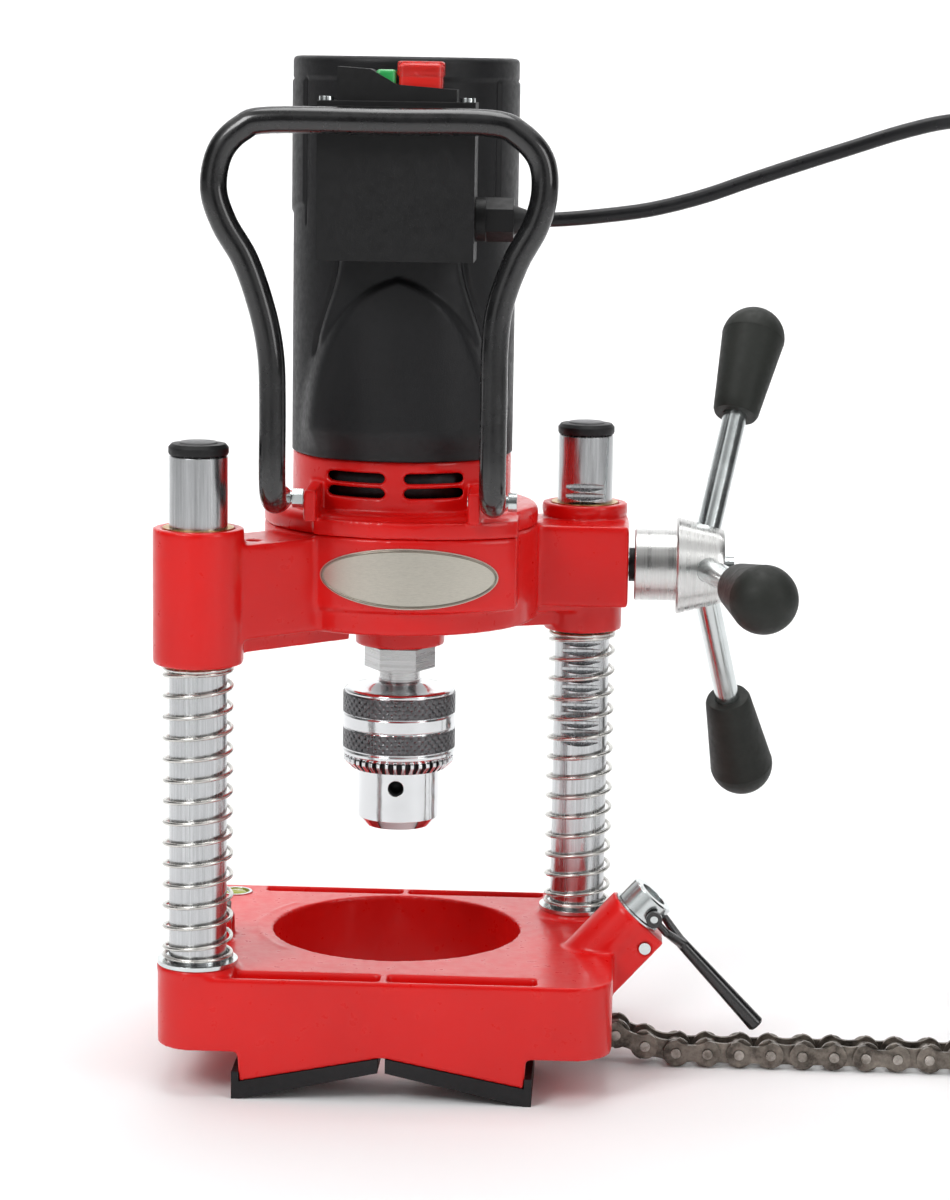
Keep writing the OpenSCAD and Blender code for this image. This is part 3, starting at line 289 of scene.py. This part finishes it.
def coil_points():
    """The wound part, clockwise from above.

    Each turn steps to its next seat a little before the last one did.
    """
    out = []
    for i in range(COIL_STEPS + 1):
        turn = COIL_START + (COIL_END - COIL_START) * i / COIL_STEPS
        radius, height = COIL_SEATS[0]
        for k, (seat, after) in enumerate(zip(COIL_SEATS, COIL_SEATS[1:])):
            t = ease((turn - (k + FIRST_STEP_AT - k * STEP_TURN)) / STEP_TURN, 0, 1)
            radius += t * (after[0] - seat[0])
            height += t * (after[1] - seat[1])
        a = math.pi - math.tau * turn
        out.append(COIL_CENTRE + mm(radius * math.cos(a), radius * math.sin(a), height))
    return out


def make_cable():
    run = [mm(*p) for p in RUN_POINTS]
    tail = [mm(*p) for p in TAIL_POINTS]
    path = curve_through(run, 5)[:-1] + coil_points() + curve_through(tail, 4)[1:]
    cable = tube("flex", path, CORD_D / 2, CORD_SIDES, (0, 1, 0))
    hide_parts("supply_cable", "cable_coil")
    return cable, path


cable, cable_path = make_cable()
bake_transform(cable)

# ---------------------------------------------------------------- materials

RED = (0.66, 0.005, 0.004)
STEEL = (0.55, 0.56, 0.57)
EVEN = (1, 1, 1)
NOISE_LOW, NOISE_HIGH = 0.3, 0.7
BEVEL_SAMPLES = 6


def fill_ramp(ramp, stops):
    """Sets a colour ramp's stops: (position, (r, g, b)) in rising order."""
    elements = ramp.color_ramp.elements
    while len(elements) < len(stops):
        elements.new(0.5)
    for element, (position, colour) in zip(elements, stops):
        element.position = position
        element.color = (*colour, 1)


class Shader:
    """A Principled material built from procedural nodes on the object's own coordinates."""

    def __init__(self, name, rough, metal=0.0, **sockets):
        self.material = bpy.data.materials.new(name)
        self.material.use_nodes = True
        self.tree = self.material.node_tree
        self.shader = self.tree.nodes["Principled BSDF"]
        self.shader.inputs["Metallic"].default_value = metal
        self.shader.inputs["Roughness"].default_value = rough
        for socket, value in sockets.items():
            self.shader.inputs[socket.replace("_", " ")].default_value = value
        self.place = self.tree.nodes.new("ShaderNodeTexCoord").outputs["Object"]

    def link(self, a, b):
        self.tree.links.new(a, b)

    def noise(self, scale, stretch=EVEN, detail=4.0, roughness=0.55):
        mapping = self.tree.nodes.new("ShaderNodeMapping")
        mapping.inputs["Scale"].default_value = stretch
        self.link(self.place, mapping.inputs["Vector"])
        texture = self.tree.nodes.new("ShaderNodeTexNoise")
        texture.inputs["Scale"].default_value = scale
        texture.inputs["Detail"].default_value = detail
        texture.inputs["Roughness"].default_value = roughness
        self.link(mapping.outputs[0], texture.inputs["Vector"])
        return texture.outputs["Fac"]

    def spread(self, value, low, high):
        """A noise value, nearly all of it between NOISE_LOW and NOISE_HIGH, spread over a range."""
        node = self.tree.nodes.new("ShaderNodeMapRange")
        node.inputs["From Min"].default_value = NOISE_LOW
        node.inputs["From Max"].default_value = NOISE_HIGH
        node.inputs["To Min"].default_value = low
        node.inputs["To Max"].default_value = high
        self.link(value, node.inputs["Value"])
        return node.outputs["Result"]

    def colours(self, value, *stops):
        """Colour along a value: stops are (position, (r, g, b))."""
        ramp = self.tree.nodes.new("ShaderNodeValToRGB")
        fill_ramp(ramp, stops)
        self.link(value, ramp.inputs[0])
        return ramp.outputs["Color"]

    def tint(self, colour, value, amount):
        """One colour that drifts lighter and darker with a value."""
        dark = tuple(c * (1 - amount) for c in colour)
        light = tuple(min(1, c * (1 + amount)) for c in colour)
        drift = self.colours(value, (NOISE_LOW, dark), (NOISE_HIGH, light))
        self.link(drift, self.shader.inputs["Base Color"])

    def roughness(self, value, low, high):
        self.link(self.spread(value, low, high), self.shader.inputs["Roughness"])

    def relief(self, *layers, edge=0.0):
        """Bumps, each (value, depth in metres), over edges rounded by the given radius."""
        normal = None
        if edge:
            bevel = self.tree.nodes.new("ShaderNodeBevel")
            bevel.samples = BEVEL_SAMPLES
            bevel.inputs["Radius"].default_value = edge
            normal = bevel.outputs[0]
        for value, depth in layers:
            bump = self.tree.nodes.new("ShaderNodeBump")
            bump.inputs["Strength"].default_value = 1.0
            bump.inputs["Distance"].default_value = depth
            self.link(value, bump.inputs["Height"])
            if normal:
                self.link(normal, bump.inputs["Normal"])
            normal = bump.outputs[0]
        if normal:
            self.link(normal, self.shader.inputs["Normal"])


def paint_red():
    s = Shader("paint_red", 0.38, Specular_IOR_Level=0.28, Coat_Weight=0.28, Coat_Roughness=0.10)
    s.tint(RED, s.noise(9, detail=3), 0.10)
    s.roughness(s.noise(160), 0.26, 0.40)
    s.relief((s.noise(170, detail=2), 0.00010), (s.noise(900, detail=2), 0.000010))
    return s.material


def paint_black():
    s = Shader("paint_black", 0.25, Coat_Weight=0.6, Coat_Roughness=0.08)
    s.tint((0.0045, 0.0045, 0.005), s.noise(30), 0.3)
    s.roughness(s.noise(120), 0.18, 0.34)
    s.relief((s.noise(260, detail=2), 0.00004), edge=0.0005)
    return s.material


def moulded(name, colour, rough, grain, depth, drift=0.2):
    """Moulded plastic or rubber with a fine surface grain."""
    s = Shader(name, rough, Specular_IOR_Level=0.32)
    s.tint(colour, s.noise(25), drift)
    s.roughness(s.noise(300), rough - 0.08, rough + 0.08)
    s.relief((s.noise(grain, detail=3), depth), edge=0.0006)
    return s.material


def machined(name, colour, rough, stretch, scale, drift=0.12, depth=0.000006):
    """Bare metal with tool marks drawn out along one direction."""
    s = Shader(name, rough, 1.0)
    marks = s.noise(scale, stretch, detail=6, roughness=0.7)
    s.tint(colour, marks, drift)
    s.roughness(s.noise(scale * 0.6, stretch), rough - 0.07, rough + 0.07)
    s.relief((marks, depth), edge=0.0003)
    return s.material


def polished(name, colour, rough):
    """Plated or burnished metal, with a faint haze."""
    s = Shader(name, rough, 1.0)
    s.tint(colour, s.noise(40), 0.05)
    s.roughness(s.noise(220, detail=8), rough * 0.6, rough * 1.7)
    s.relief((s.noise(500, detail=2), 0.000003), edge=0.0004)
    return s.material


def chain_steel(name, light, dark, rough):
    """Oiled steel: brown-grey patches over bare metal."""
    s = Shader(name, rough, 0.9)
    patches = s.noise(130, detail=6, roughness=0.65)
    s.link(s.colours(patches, (0.35, dark), (0.55, light), (0.72, tuple(c * 1.5 for c in light))),
           s.shader.inputs["Base Color"])
    s.roughness(s.noise(400), rough - 0.1, rough + 0.14)
    s.relief((s.noise(1300, detail=4), 0.00002), edge=0.0004)
    return s.material


def plate_metal():
    """Brushed silver metal, brushed along the plate."""
    s = Shader("plate_metal", 0.34, 1.0, Anisotropic=0.4)
    lines = s.noise(60, (6, 1, 90), detail=8, roughness=0.75)
    s.tint((0.58, 0.55, 0.48), lines, 0.16)
    s.roughness(lines, 0.26, 0.44)
    s.relief((lines, 0.000006), edge=0.0002)
    return s.material


def vial_liquid():
    """The yellow-green spirit of the bull's-eye level."""
    s = Shader("vial_liquid", 0.05, Transmission_Weight=0.55, IOR=1.45)
    s.tint((0.60, 0.80, 0.08), s.noise(60), 0.12)
    s.relief((s.noise(300), 0.000004), edge=0.0004)
    return s.material


def clear_plastic():
    """The clear cap over the stop button."""
    s = Shader("clear_plastic", 0.05, Transmission_Weight=1.0, IOR=1.25)
    s.tint((0.95, 0.95, 0.95), s.noise(80), 0.03)
    s.roughness(s.noise(300), 0.02, 0.08)
    s.relief((s.noise(500), 0.000006), edge=0.0003)
    return s.material


def glossy_plastic(name, colour):
    s = Shader(name, 0.22, Coat_Weight=0.4, Coat_Roughness=0.1)
    s.tint(colour, s.noise(60), 0.10)
    s.roughness(s.noise(200), 0.16, 0.28)
    s.relief((s.noise(400, detail=2), 0.00001), edge=0.0008)
    return s.material


MATERIALS = {
    "paint_red": paint_red(),
    "paint_black": paint_black(),
    "motor_plastic": moulded("motor_plastic", (0.0085, 0.0085, 0.0095), 0.46, 1500, 0.00007),
    "box_plastic": moulded("box_plastic", (0.0095, 0.0095, 0.010), 0.44, 1900, 0.00004),
    "grip_plastic": moulded("grip_plastic", (0.016, 0.018, 0.015), 0.56, 2200, 0.00003),
    "pad_rubber": moulded("pad_rubber", (0.011, 0.011, 0.012), 0.62, 900, 0.00006, drift=0.3),
    "cable_rubber": moulded("cable_rubber", (0.007, 0.007, 0.008), 0.34, 700, 0.00003),
    "column_steel": machined("column_steel", STEEL, 0.24, (60, 60, 1), 18, 0.22, 0.000010),
    "bright_zinc": machined("bright_zinc", (0.66, 0.70, 0.70), 0.20, EVEN, 90, 0.10),
    "turned_steel": machined("turned_steel", (0.55, 0.55, 0.55), 0.28, (1, 1, 60), 22, 0.15),
    "spring_wire": machined("spring_wire", (0.62, 0.61, 0.58), 0.26, EVEN, 160, 0.18),
    "hub_alloy": machined("hub_alloy", (0.62, 0.62, 0.61), 0.28, (60, 1, 1), 14, 0.07, 0.000003),
    "chrome": polished("chrome", (0.70, 0.71, 0.72), 0.10),
    "knurled_steel": machined("knurled_steel", (0.13, 0.13, 0.135), 0.30, EVEN, 300, 0.3),
    # Near-black metal used only as painted shade: in the key holes, between the sleeve's teeth and
    # behind the vents
    "painted_shade_dark": machined("painted_shade_dark", (0.03, 0.03, 0.032), 0.5, EVEN, 200, 0.3),
    "chain_plates": chain_steel("chain_plates", (0.20, 0.175, 0.15), (0.065, 0.055, 0.047), 0.42),
    "chain_pins": chain_steel("chain_pins", (0.36, 0.33, 0.30), (0.14, 0.12, 0.10), 0.34),
    "plate_metal": plate_metal(),
    "plate_edge": machined("plate_edge", (0.26, 0.24, 0.20), 0.34, EVEN, 160, 0.2),
    "bronze": polished("bronze", (0.52, 0.33, 0.13), 0.30),
    "copper": polished("copper", (0.60, 0.30, 0.16), 0.32),
    "vial_liquid": vial_liquid(),
    "clear_plastic": clear_plastic(),
    "red_plastic": glossy_plastic("red_plastic", (0.72, 0.018, 0.012)),
    "green_plastic": glossy_plastic("green_plastic", (0.03, 0.36, 0.09)),
    "cap_disc": moulded("cap_disc", (0.16, 0.16, 0.165), 0.45, 1400, 0.00003),
}
FINISH = {
    "paint_red": ["base_casting", "head_casting", "motor_bracket"],
    "paint_black": ["carry_handle", "tension_lever"],
    "motor_plastic": ["motor_housing", "cooling_fan", "feed_spacer", "column_caps"],
    "box_plastic": ["switch_box", "switch_guard", "switch_block", "cable_gland", "cable_plug"],
    "grip_plastic": ["feed_knobs"],
    "pad_rubber": ["vee_pads"],
    "cable_rubber": ["supply_cable", "cable_coil"],
    "column_steel": ["left_column", "right_column", "feed_pinion", "gear_plate", "layshaft", "jaw_1",
                     "jaw_2", "jaw_3", "bearings"],
    "bright_zinc": ["feed_spokes", "tension_nut", "base_screws", "steel_washers", "hub_screw",
                    "handle_screws", "box_screws", "lever_pin", "cross_pins", "level_bezel"],
    "turned_steel": ["spindle", "draw_screw"],
    "spring_wire": ["left_spring", "right_spring"],
    "hub_alloy": ["feed_hub"],
    "chrome": ["chuck_body", "chuck_sleeve"],
    "chain_plates": ["chain_plates_a", "chain_plates_b", "chain_plates_c", "chain_hook", "stator"],
    "chain_pins": ["chain_pins_a", "chain_pins_b", "chain_pins_c"],
    "plate_metal": ["name_plate"],
    "bronze": ["guide_bushes", "feed_bushes", "brush_holders"],
    "copper": ["armature"],
    "vial_liquid": ["level_vial"],
    "red_plastic": ["stop_button"],
    "green_plastic": ["start_button"],
}


def paint(obj, finish):
    obj.data.materials.clear()
    obj.data.materials.append(MATERIALS[finish])


# The grid's cell and the passes of smoothing that give each casting its soft corners
CASTINGS = {"base_casting": (0.0011, 5), "head_casting": (0.0011, 9), "motor_bracket": (0.0010, 5)}
for finish, names in FINISH.items():
    for name in names:
        paint(nodes[name], finish)
        if name in CASTINGS:
            cast_edges(nodes[name], *CASTINGS[name])
        else:
            smooth_by_angle(nodes[name])
paint(cable, "cable_rubber")


def add_piece(obj, body, finish, slot, *replaced):
    """Paints a new piece, puts it on its body and hides the parts that it replaces."""
    paint(obj, finish)
    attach(obj, body)
    if replaced:
        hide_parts(*replaced)
    return obj


# ---------------------------------------------------------------- return springs

SPRING_TURNS = 16
WIRE_R = 0.001
WIRE_SIDES = 10
CLOSED_TURNS = 1.25
SPRING_STEPS = 30


def make_spring(name, node):
    """A compression spring with closed ends."""
    low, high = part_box(node)
    open_turns = SPRING_TURNS - 2 * CLOSED_TURNS
    centre = (low + high) / 2
    radius = (high.x - low.x) / 2 - WIRE_R
    rise = high.z - low.z - 2 * WIRE_R

    def height(t):
        if t < CLOSED_TURNS:
            return 2 * WIRE_R * t / CLOSED_TURNS
        if t > SPRING_TURNS - CLOSED_TURNS:
            return rise - 2 * WIRE_R * (SPRING_TURNS - t) / CLOSED_TURNS
        share = (t - CLOSED_TURNS) / open_turns
        return 2 * WIRE_R + share * (rise - 4 * WIRE_R)

    path = []
    for i in range(SPRING_TURNS * SPRING_STEPS + 1):
        t = i / SPRING_STEPS
        a = math.tau * t
        path.append(Vector((centre.x + radius * math.cos(a), centre.y + radius * math.sin(a),
                            low.z + WIRE_R + height(t))))
    spring = tube(name, path, WIRE_R, WIRE_SIDES)
    add_piece(spring, "base", "spring_wire", "spring_steel", node)
    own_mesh(spring)


make_spring("spring_coil_left", "left_spring")
make_spring("spring_coil_right", "right_spring")

# ---------------------------------------------------------------- carry handle

GRIP_POINTS = [
    (-55, -62, 229), (-55, -80, 230), (-55, -91, 233), (-55, -98, 243), (-55, -98, 280),
    (-56, -98, 302), (-60, -98, 322), (-68, -98, 345), (-78, -98, 362), (-83, -98, 378),
    (-80, -98, 395), (-70, -98, 406), (-56, -98, 410), (0, -98, 410), (45, -98, 410),
    (59, -98, 405), (69, -98, 394), (71, -98, 379), (67, -98, 363), (58, -98, 346),
    (51, -98, 325), (49, -98, 305), (49, -98, 280), (49, -98, 243), (49, -91, 233),
    (49, -80, 230), (49, -62, 229),
]
GRIP_R = 0.00635
GRIP_SIDES = 28


def handle_tube():
    """The bent tube of the carry handle, from one lug to the other."""
    path = curve_through([mm(*p) for p in GRIP_POINTS], 6)
    handle = tube("handle_tube", path, GRIP_R, GRIP_SIDES, (1, 1, 1))
    add_piece(handle, "head", "paint_black", "handle_paint", "carry_handle")


handle_tube()

# ---------------------------------------------------------------- chuck sleeve

SLEEVE_TEETH = 40
TOOTH_TOP = 0.0058
TOOTH_DEPTH = 0.0011
TOOTH_FLAT = 0.6
KNURL_ROWS = 44
KNURL_DEPTH = 0.0006
KNURL_EDGE = 0.0004
# Heights above the sleeve's lower end
KNURL_BANDS = [(0.0105, 0.0205), (0.0285, 0.0385)]
GROOVES = [(0.0094, 0.0105), (0.0205, 0.0215), (0.0275, 0.0285), (0.0385, 0.0395)]
GROOVE_DEPTH = 0.0009
BARREL = (0.0078, 0.0392)
BARREL_ROWS = 110
SLEEVE_BORE_R, SLEEVE_STEM_R = 0.0167, 0.0107
SLEEVE_SIDES = 528
# Material slots of the sleeve: chrome, knurl, and painted shade in the gaps between the teeth
CHROME, KNURL, TOOTH_GAP_SHADE = 0, 1, 2


def sleeve_profile(radius, top):
    """The sleeve's section: tooth ring, grooved barrel and dished cone."""
    profile = [(SLEEVE_BORE_R, 0.0), (radius - 0.0042, 0.0), (radius - 0.0006, 0.0036),
               (radius - 0.0006, 0.0056), (radius - 0.0016, 0.0060), (radius - 0.0016, 0.0070),
               (radius, 0.0076)]
    start, stop = BARREL
    for i in range(BARREL_ROWS + 1):
        h = start + (stop - start) * i / BARREL_ROWS
        grooved = any(low <= h <= high for low, high in GROOVES)
        profile.append((radius - GROOVE_DEPTH if grooved else radius, h))
    return profile + [(radius - 0.0006, 0.0400), (radius - 0.0030, 0.0408),
                      (radius - 0.0060, 0.0409), (0.0150, top - 0.0008), (0.0130, top),
                      (SLEEVE_STEM_R, top), (SLEEVE_STEM_R, top - 0.0018)]


def sleeve_relief(radius):
    """How far teeth and knurls cut into the sleeve, as a function of angle and height."""
    pitch = math.tau * radius / KNURL_ROWS

    def relief(a, h):
        if 0.0 < h <= TOOTH_TOP:
            wave = max(-TOOTH_FLAT, min(TOOTH_FLAT, 1.6 * math.cos(SLEEVE_TEETH * a)))
            return -TOOTH_DEPTH + TOOTH_DEPTH * wave / TOOTH_FLAT
        for low, high in KNURL_BANDS:
            if low + KNURL_EDGE < h < high - KNURL_EDGE:
                u = KNURL_ROWS * a
                v = math.tau * (h - low) / pitch
                ridge = abs(math.sin((u + v) / 2)) + abs(math.sin((u - v) / 2))
                return -KNURL_DEPTH * (1 - min(1, ridge - 0.35))
        return 0

    return relief


def chuck_sleeve_piece():
    """The turned sleeve: a ring of bevel teeth, two diamond knurled bands and a dished cone."""
    low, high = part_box("chuck_sleeve")
    radius = (high.x - low.x) / 2
    relief = sleeve_relief(radius)
    sleeve = lathe("sleeve_turned", sleeve_profile(radius, high.z - low.z), SLEEVE_SIDES,
                   (0, 0, low.z), shape=relief)
    for finish in ("chrome", "knurled_steel", "painted_shade_dark"):
        sleeve.data.materials.append(MATERIALS[finish])
    for polygon in sleeve.data.polygons:
        place = polygon.center
        h = place.z - low.z
        on_teeth = 0.0002 < h < 0.0059 and math.hypot(place.x, place.y) > 0.02
        if any(start < h < stop for start, stop in KNURL_BANDS):
            polygon.material_index = KNURL
        # Faces deep in the gaps between the teeth get painted shade
        elif on_teeth and relief(math.atan2(place.y, place.x), h) < -0.0012:
            polygon.material_index = TOOTH_GAP_SHADE
        else:
            polygon.material_index = CHROME
        polygon.use_smooth = h > 0.006
    return sleeve


sleeve = chuck_sleeve_piece()
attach(sleeve, "chuck_sleeve")
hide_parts("chuck_sleeve")


KEY_HOLE_R = 0.0039
KEY_HOLE_DEPTH = 0.0088
KEY_HOLE_HEIGHT = 0.022
AXIS_R = 0.0001


def key_hole_shade(name, degrees):
    """A dark cup in a hole for the chuck key: painted shade on the hole's bottom and wall."""
    low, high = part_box("chuck_body")
    nose_r = (high.x - low.x) / 2
    a = math.radians(degrees)
    out = Vector((math.cos(a), math.sin(a), 0))
    centre = out * (nose_r - KEY_HOLE_DEPTH - 0.0004) + Vector((0, 0, low.z + KEY_HOLE_HEIGHT))
    cup_inner_r = KEY_HOLE_R - 0.0003
    cup = lathe(name, [(AXIS_R, 0), (KEY_HOLE_R, 0), (KEY_HOLE_R, KEY_HOLE_DEPTH),
                       (cup_inner_r, KEY_HOLE_DEPTH), (cup_inner_r, 0.0004), (AXIS_R, 0.0004)],
                40, centre, out)
    add_piece(cup, "spindle", "painted_shade_dark", "chrome_steel")


for index, degrees in enumerate((30, 150, 270)):
    key_hole_shade(f"key_hole_shade_{index + 1}", degrees)

# ---------------------------------------------------------------- motor housing

# The arch in front: its height, half width, place across and how far it swells
ARCH_TOP = 0.089
ARCH_HALF = 0.049
ARCH_X = 0.001
ARCH_SWELL = 0.0066
# The neck under the switch box, and the groove along its edges
NECK_HALF, NECK_FLARE = 0.029, 0.011
NECK_SWELL = 0.0036
GROOVE_CUT = 0.0016
# The panel on each side: its half angle, foot, top and rise, and the seam round it
PANEL_ANGLE = 0.56
PANEL_FOOT, PANEL_TOP = 0.116, 0.181
PANEL_RISE = 0.0009
SEAM_CUT = 0.0008
LIP_FOOT, LIP_RISE = 0.183, 0.0005
SHELL_WALL = 0.004
SHELL_ROWS, SHELL_SIDES = 170, 360
CAP_R = 0.030


def front_swell(across, h, box_under):
    """The rise of the arch and of the neck in the housing's front half."""
    side = abs(across - ARCH_X)
    rise = min(h / ARCH_TOP, 1)
    half = ARCH_HALF * math.sqrt(max(1 - rise**2.3, 0)) + 0.001
    inside = (half - side) if rise < 1 else -1.0
    arch = ARCH_SWELL * ease(inside, -0.002, 0.013) * (0.30 + 0.70 * ease(h, 0, 0.016))
    neck = NECK_HALF + NECK_FLARE * ease(box_under - h, 0, 0.05)
    under = ease(neck - side, -0.002, 0.004) * ease(h, 0.035, 0.06)
    under *= 1 - ease(h, box_under + 0.002, box_under + 0.006)
    edge = abs(neck + 0.0015 - side)
    groove = (1 - ease(edge, 0.0006, 0.0018)) * ease(h, 0.048, 0.052) * (h < box_under + 0.004)
    return max(arch, NECK_SWELL * under) - GROOVE_CUT * groove


def side_rise(a, h):
    """The panel with its seam on each side, and the lip round the top."""
    side = math.asin(min(abs(math.sin(a)), 1))
    foot = PANEL_FOOT + 0.010 * side
    panel = ease(PANEL_ANGLE - side, 0, 0.02) * ease(h, foot, foot + 0.002)
    panel *= 1 - ease(h, PANEL_TOP, PANEL_TOP + 0.0015)
    seam = abs(side - PANEL_ANGLE - 0.015) < 0.012 and PANEL_FOOT - 0.004 < h < LIP_FOOT
    lip = LIP_RISE * ease(h, LIP_FOOT, LIP_FOOT + 0.0004)
    return PANEL_RISE * panel + lip - (SEAM_CUT if seam else 0)


def motor_shell():
    """The moulded housing: a cylinder with a swelling arch in front and a panel on each side."""
    low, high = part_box("motor_housing")
    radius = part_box("stator")[1].x + 0.0041
    tall = high.z - low.z
    box_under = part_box("switch_box")[0].z - low.z

    def shape(a, h):
        h = max(h, 0.0003)
        front = front_swell(radius * math.cos(a), h, box_under) if math.sin(a) < 0 else 0.0
        return front + side_rise(a, h)

    inner = radius - SHELL_WALL
    profile = [(inner, 0.0), (radius - 0.0006, 0.0)]
    profile += [(radius, 0.0004 + (tall - 0.0026) * i / SHELL_ROWS) for i in range(SHELL_ROWS + 1)]
    profile += [(radius - 0.0005, tall - 0.0010), (radius - 0.0016, tall - 0.0003)]
    outer_rows = range(1, len(profile))
    profile += [(radius - 0.0035, tall), (CAP_R, tall), (CAP_R, tall - 0.0012),
                (0.0002, tall - 0.0012), (0.0002, tall - 0.006), (inner, tall - 0.006)]
    shell = lathe("motor_shell", profile, SHELL_SIDES, (0, 0, low.z), shape=shape,
                  shaped=outer_rows, closed=True)
    add_piece(shell, "head", "motor_plastic", "black_plastic", "motor_housing")


motor_shell()

# ---------------------------------------------------------------- buttons

COVER_DROP = 0.0046


def button(node, colour, slot):
    """A button with rounded edges."""
    low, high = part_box(node)
    core = soft_box(f"{node}_core", low, high - Vector((0, 0, 0.0006)), 0.0018)
    add_piece(core, node, colour, slot, node)


button("stop_button", "red_plastic", "stop_red")
button("start_button", "green_plastic", "start_green")


def stop_cover():
    """The clear cap over the stop button, which moves with it."""
    low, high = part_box("stop_button")
    guard_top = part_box("switch_guard")[1].z
    rim = Vector((0.0008, 0.0008, 0.0004))
    bottom = Vector((low.x - rim.x, low.y - rim.y, guard_top - COVER_DROP))
    cover = soft_box("stop_cover", bottom, high + rim, 0.0016)
    add_piece(cover, "stop_button", "clear_plastic", "stop_red")


stop_cover()

# ---------------------------------------------------------------- painted shade: a dark ring behind the vents

SHADE_RING_TALL, SHADE_RING_WALL = 0.0225, 0.0005


def vent_shade_ring():
    """A thin dark ring inside the vented neck: painted shade, so that the slots don't show daylight.
    """
    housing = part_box("motor_housing")[0].z
    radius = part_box("stator")[1].x - 0.0018
    inner = radius - SHADE_RING_WALL
    ring = lathe("vent_shade_ring", [(inner, 0), (radius, 0), (radius, SHADE_RING_TALL),
                                 (inner, SHADE_RING_TALL)],
                 96, (0, 0, housing - SHADE_RING_TALL - 0.001), closed=True)
    add_piece(ring, "head", "painted_shade_dark", "black_plastic")


vent_shade_ring()

# ---------------------------------------------------------------- small pieces

PLATE_CURVE_R = 0.093
RIM_R, RIM_INSET = 0.0006, 0.0011
RIM_STEPS = 120
DISC_R = 0.0092


def plate_rim():
    """A thin raised rim round the bare oval plate, following its curve."""
    low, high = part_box("name_plate")
    centre = (low + high) / 2
    half = (high - low) / 2
    path = []
    for i in range(RIM_STEPS + 1):
        a = math.tau * i / RIM_STEPS
        x = centre.x + (half.x - RIM_INSET) * math.cos(a)
        z = centre.z + (half.z - RIM_INSET) * math.sin(a)
        back = PLATE_CURVE_R - math.sqrt(PLATE_CURVE_R**2 - (x - centre.x) ** 2)
        path.append(Vector((x, low.y + back - 0.0001, z)))
    add_piece(tube("plate_rim", path, RIM_R, 8, (0, 1, 0)), "head", "plate_edge", "plate_metal")


plate_rim()


def cap_disc(side):
    """The grey disc let into the top of a column's cap."""
    low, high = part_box(f"{side}_column")
    x, y = (low.x + high.x) / 2, (low.y + high.y) / 2
    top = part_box("column_caps")[1].z
    profile = [(AXIS_R, 0), (DISC_R, 0), (DISC_R, 0.0006), (DISC_R - 0.0006, 0.0010),
               (AXIS_R, 0.0010)]
    disc = lathe(f"cap_disc_{side}", profile, 64, (x, y, top - 0.0003))
    add_piece(disc, "base", "cap_disc", "black_plastic")


cap_disc("left")
cap_disc("right")

# ---------------------------------------------------------------- stage and light

FLOOR_SIZE = 6
SWEEP_R = 1.2
BACKDROP_TOP = 5
AIM = (0, 0, 0.2)


def make_stage():
    """A pale floor that curves up into a backdrop."""
    verts, faces = [], []
    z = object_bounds()[0].z
    angles = [math.radians(d) for d in range(0, 91, 6)]
    sweep = [(SWEEP_R + SWEEP_R * math.sin(a), SWEEP_R - SWEEP_R * math.cos(a)) for a in angles]
    profile = [(-FLOOR_SIZE, 0), *sweep, (2 * SWEEP_R, BACKDROP_TOP)]
    for y, h in profile:
        verts += [(-FLOOR_SIZE, y, z + h), (FLOOR_SIZE, y, z + h)]
    for i in range(len(profile) - 1):
        faces.append((2 * i, 2 * i + 1, 2 * i + 3, 2 * i + 2))
    floor = add_mesh("floor", verts, faces)
    s = Shader("floor_paper", 0.7)
    s.tint((0.90, 0.90, 0.905), s.noise(2), 0.01)
    floor.data.materials.append(s.material)


def area_light(name, place, aim, size, power):
    """A rectangular white light at a place, turned to its aim."""
    data = bpy.data.lights.new(name, "AREA")
    data.shape = "RECTANGLE"
    data.size, data.size_y = size
    data.energy = power
    light = bpy.data.objects.new(name, data)
    light.location = place
    light.rotation_mode = "QUATERNION"
    light.rotation_quaternion = (Vector(aim) - Vector(place)).to_track_quat("-Z", "Y")
    bpy.context.scene.collection.objects.link(light)


# Brightness round the room, from left to right
WALLS = [(0.0, 0.10), (0.10, 0.16), (0.17, 1.0), (0.30, 1.0), (0.38, 0.16), (0.54, 0.12),
         (0.60, 0.35), (0.68, 0.90), (0.80, 0.90), (0.88, 0.12), (1.0, 0.08)]
WALLS_STRENGTH = 0.7


def studio_walls():
    """White panels between dark ones all round, so that bare metal has something to show."""
    world = bpy.data.worlds.new("studio")
    bpy.context.scene.world = world
    world.use_nodes = True
    tree = world.node_tree
    place = tree.nodes.new("ShaderNodeTexCoord")
    split = tree.nodes.new("ShaderNodeSeparateXYZ")
    ramp = tree.nodes.new("ShaderNodeValToRGB")
    half = tree.nodes.new("ShaderNodeMapRange")
    half.inputs["From Min"].default_value = -1
    half.inputs["From Max"].default_value = 1
    tree.links.new(place.outputs["Generated"], split.inputs[0])
    tree.links.new(split.outputs["X"], half.inputs["Value"])
    tree.links.new(half.outputs["Result"], ramp.inputs[0])
    fill_ramp(ramp, [(position, (level, level, level)) for position, level in WALLS])
    tree.links.new(ramp.outputs["Color"], tree.nodes["Background"].inputs["Color"])
    tree.nodes["Background"].inputs["Strength"].default_value = WALLS_STRENGTH


make_stage()
studio_walls()
area_light("key", (-1.1, -1.5, 1.7), AIM, (0.9, 0.9), 22)
area_light("fill", (1.6, -1.2, 0.9), AIM, (0.6, 1.2), 8)
area_light("top", (0.1, 0.1, 2.2), AIM, (1.4, 1.0), 18)
area_light("backdrop", (0, 0.9, 1.9), (0, 2.4, 0.6), (3, 0.8), 30)
area_light("sky", (0, -1.5, 4.0), (0, -1.5, 0), (7, 7), 40)
bpy.context.scene.view_settings.view_transform = "Standard"
